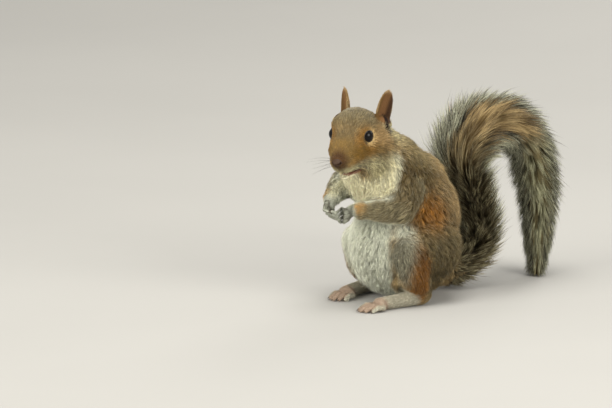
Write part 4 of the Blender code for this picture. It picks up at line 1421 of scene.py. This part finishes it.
# ---- stage ----
CAMERA_AZIMUTH = math.radians(50)
CAMERA_ELEVATION = math.radians(11)
CAMERA_LENS = 300
SENSOR_WIDTH = 36
VIEW_WIDTH = 0.4896  # what the frame spans at the squirrel
AIM_RIGHT, AIM_UP = -0.0776, 0.0736  # where the frame's middle lies from the part's design origin
FLOOR_RADIUS = 2.3
LIT_POINT = Vector((0, 0, 0.09))
LAMPS = (  # name, place, width, power and colour
    ("sky", (0.2, -0.1, 1.9), 1.2, 25, (1.0, 0.985, 0.94)),
    ("front", (-0.1, -2.3, 0.9), 1.4, 52, (1.0, 0.98, 0.92)),
    ("side", (2.1, 0.2, 1.0), 1.4, 38, (1.0, 0.98, 0.92)),
    ("rear", (-1.0, 2.3, 1.2), 1.4, 26, (1.0, 0.98, 0.94)),
)


def placed(name, data, place, backward):
    """A camera or lamp at a place, facing away from a direction."""
    obj = linked(name, data)
    obj.location = place
    obj.rotation_mode = "QUATERNION"
    obj.rotation_quaternion = backward.to_track_quat("Z", "Y")
    return obj


def add_camera():
    """Looks from the front left, a little above, as far off as a long lens would be."""
    right = Vector((math.cos(CAMERA_AZIMUTH), math.sin(CAMERA_AZIMUTH), 0))
    level = Vector((math.sin(CAMERA_AZIMUTH), -math.cos(CAMERA_AZIMUTH), 0))
    back = level * math.cos(CAMERA_ELEVATION) + Vector((0, 0, math.sin(CAMERA_ELEVATION)))
    aim = ORIGIN + right * AIM_RIGHT + back.cross(right) * AIM_UP
    data = bpy.data.cameras.new("camera")
    data.lens = CAMERA_LENS
    data.sensor_width = SENSOR_WIDTH
    data.clip_end = 100
    place = aim + back * (VIEW_WIDTH * CAMERA_LENS / SENSOR_WIDTH)
    bpy.context.scene.camera = placed("camera", data, place, back)


def add_lamp(name, place, width, power, colour):
    data = bpy.data.lights.new(name, "AREA")
    data.shape = "DISK"
    data.size = width
    data.energy = power
    data.color = colour
    placed(name, data, place, Vector(place) - LIT_POINT)


def add_floor():
    """A wide round pale floor."""
    bm = bmesh.new()
    bmesh.ops.create_circle(bm, cap_ends=True, segments=96, radius=FLOOR_RADIUS)
    floor = bm_object("floor", bm)
    floor.data.materials.append(material("floor", (0.38, 0.37, 0.35), 0.85, (0.98, 1.02), 3, None))


def add_world():
    world = bpy.data.worlds.new("world")
    world.use_nodes = True
    set_inputs(world.node_tree.nodes["Background"], Color=(1.0, 0.99, 0.94, 1), Strength=0.62)
    bpy.context.scene.world = world
    bpy.context.scene.view_settings.view_transform = "Standard"


# ---- building it all ----
def dress_skin(skin, surface, inside_lips, low_inside):
    """Colours the skin as the coat is, a little darker under the fur with painted shade, and dark in the
    mouth with painted shade at its top.
    """
    colour, ticks = markings(surface.points, surface.normals, bare_lips=True)
    furred = bare_places(surface.points)[:, None]
    # painted shade: the skin is darker where fur grows over it
    colour = colour * mixed(1.0, 0.62 + 0.12 * (1 - ticks[:, None]), furred)
    # the bare tail under its hair takes the rise's dark colour, partly painted shade
    colour = mixed(colour, RISE_DARK_AND_SHADE, fade(0, 3 * MM, far_from_tail(surface.points))[:, None])
    # painted shade in the top of the open mouth, pink lower down
    colour = mixed(colour, mixed(MOUTH_SHADE, MOUTH_PINK, low_inside), inside_lips)
    set_colours(skin.data, colour)
    skin.data.materials.clear()
    look = material("skin", None, 0.8, (0.75, 1.2), 1400, (0.5, 0.0004), Specular_IOR_Level=0.2)
    own_piece(skin, look, "coat_body", *FLESH, *TAIL_NODES, *PAWS_AND_EARS)


skin = skin_object()
lip_edge, inside_lips, low_inside = shape_face(skin)
surface = Surface(skin)
dress_skin(skin, surface, inside_lips, low_inside)
fur = material("fur", None, 0.55, (0.86, 1.14), 900, None, 3, Specular_IOR_Level=0.35)
body_coat(surface, fur)
tail_coat(surface, fur)
eye_look = material(
    "eye", (0.004, 0.003, 0.0026), 0.04, (0.5, 1.5), 120, None, IOR=1.30, Specular_IOR_Level=0.4
)
dark_skin = material("dark_skin", srgb(34, 24, 18), 0.5)
nose_look = material(
    "nose_skin", srgb(54, 34, 16), 0.6, grain=2500, bump=(0.6, 0.00012), Specular_IOR_Level=0.3
)
for eye_name in SIDES:
    add_eye(eye_name, eye_look, dark_skin)
add_nose(nose_look)
add_lip(lip_edge, material("lip", srgb(124, 92, 70), 0.65))
claw_look = material("claw", srgb(84, 66, 50), 0.35, (0.7, 1.3), 500)
add_claws("hands", "hand_left", 3.0, 0.50, claw_look)
add_claws("feet", "foot_left", 3.6, 0.62, claw_look)
add_whiskers(material("whisker", srgb(50, 44, 38), 0.4, (0.9, 1.1), 300, None))
add_camera()
add_floor()
for lamp in LAMPS:
    add_lamp(*lamp)
add_world()
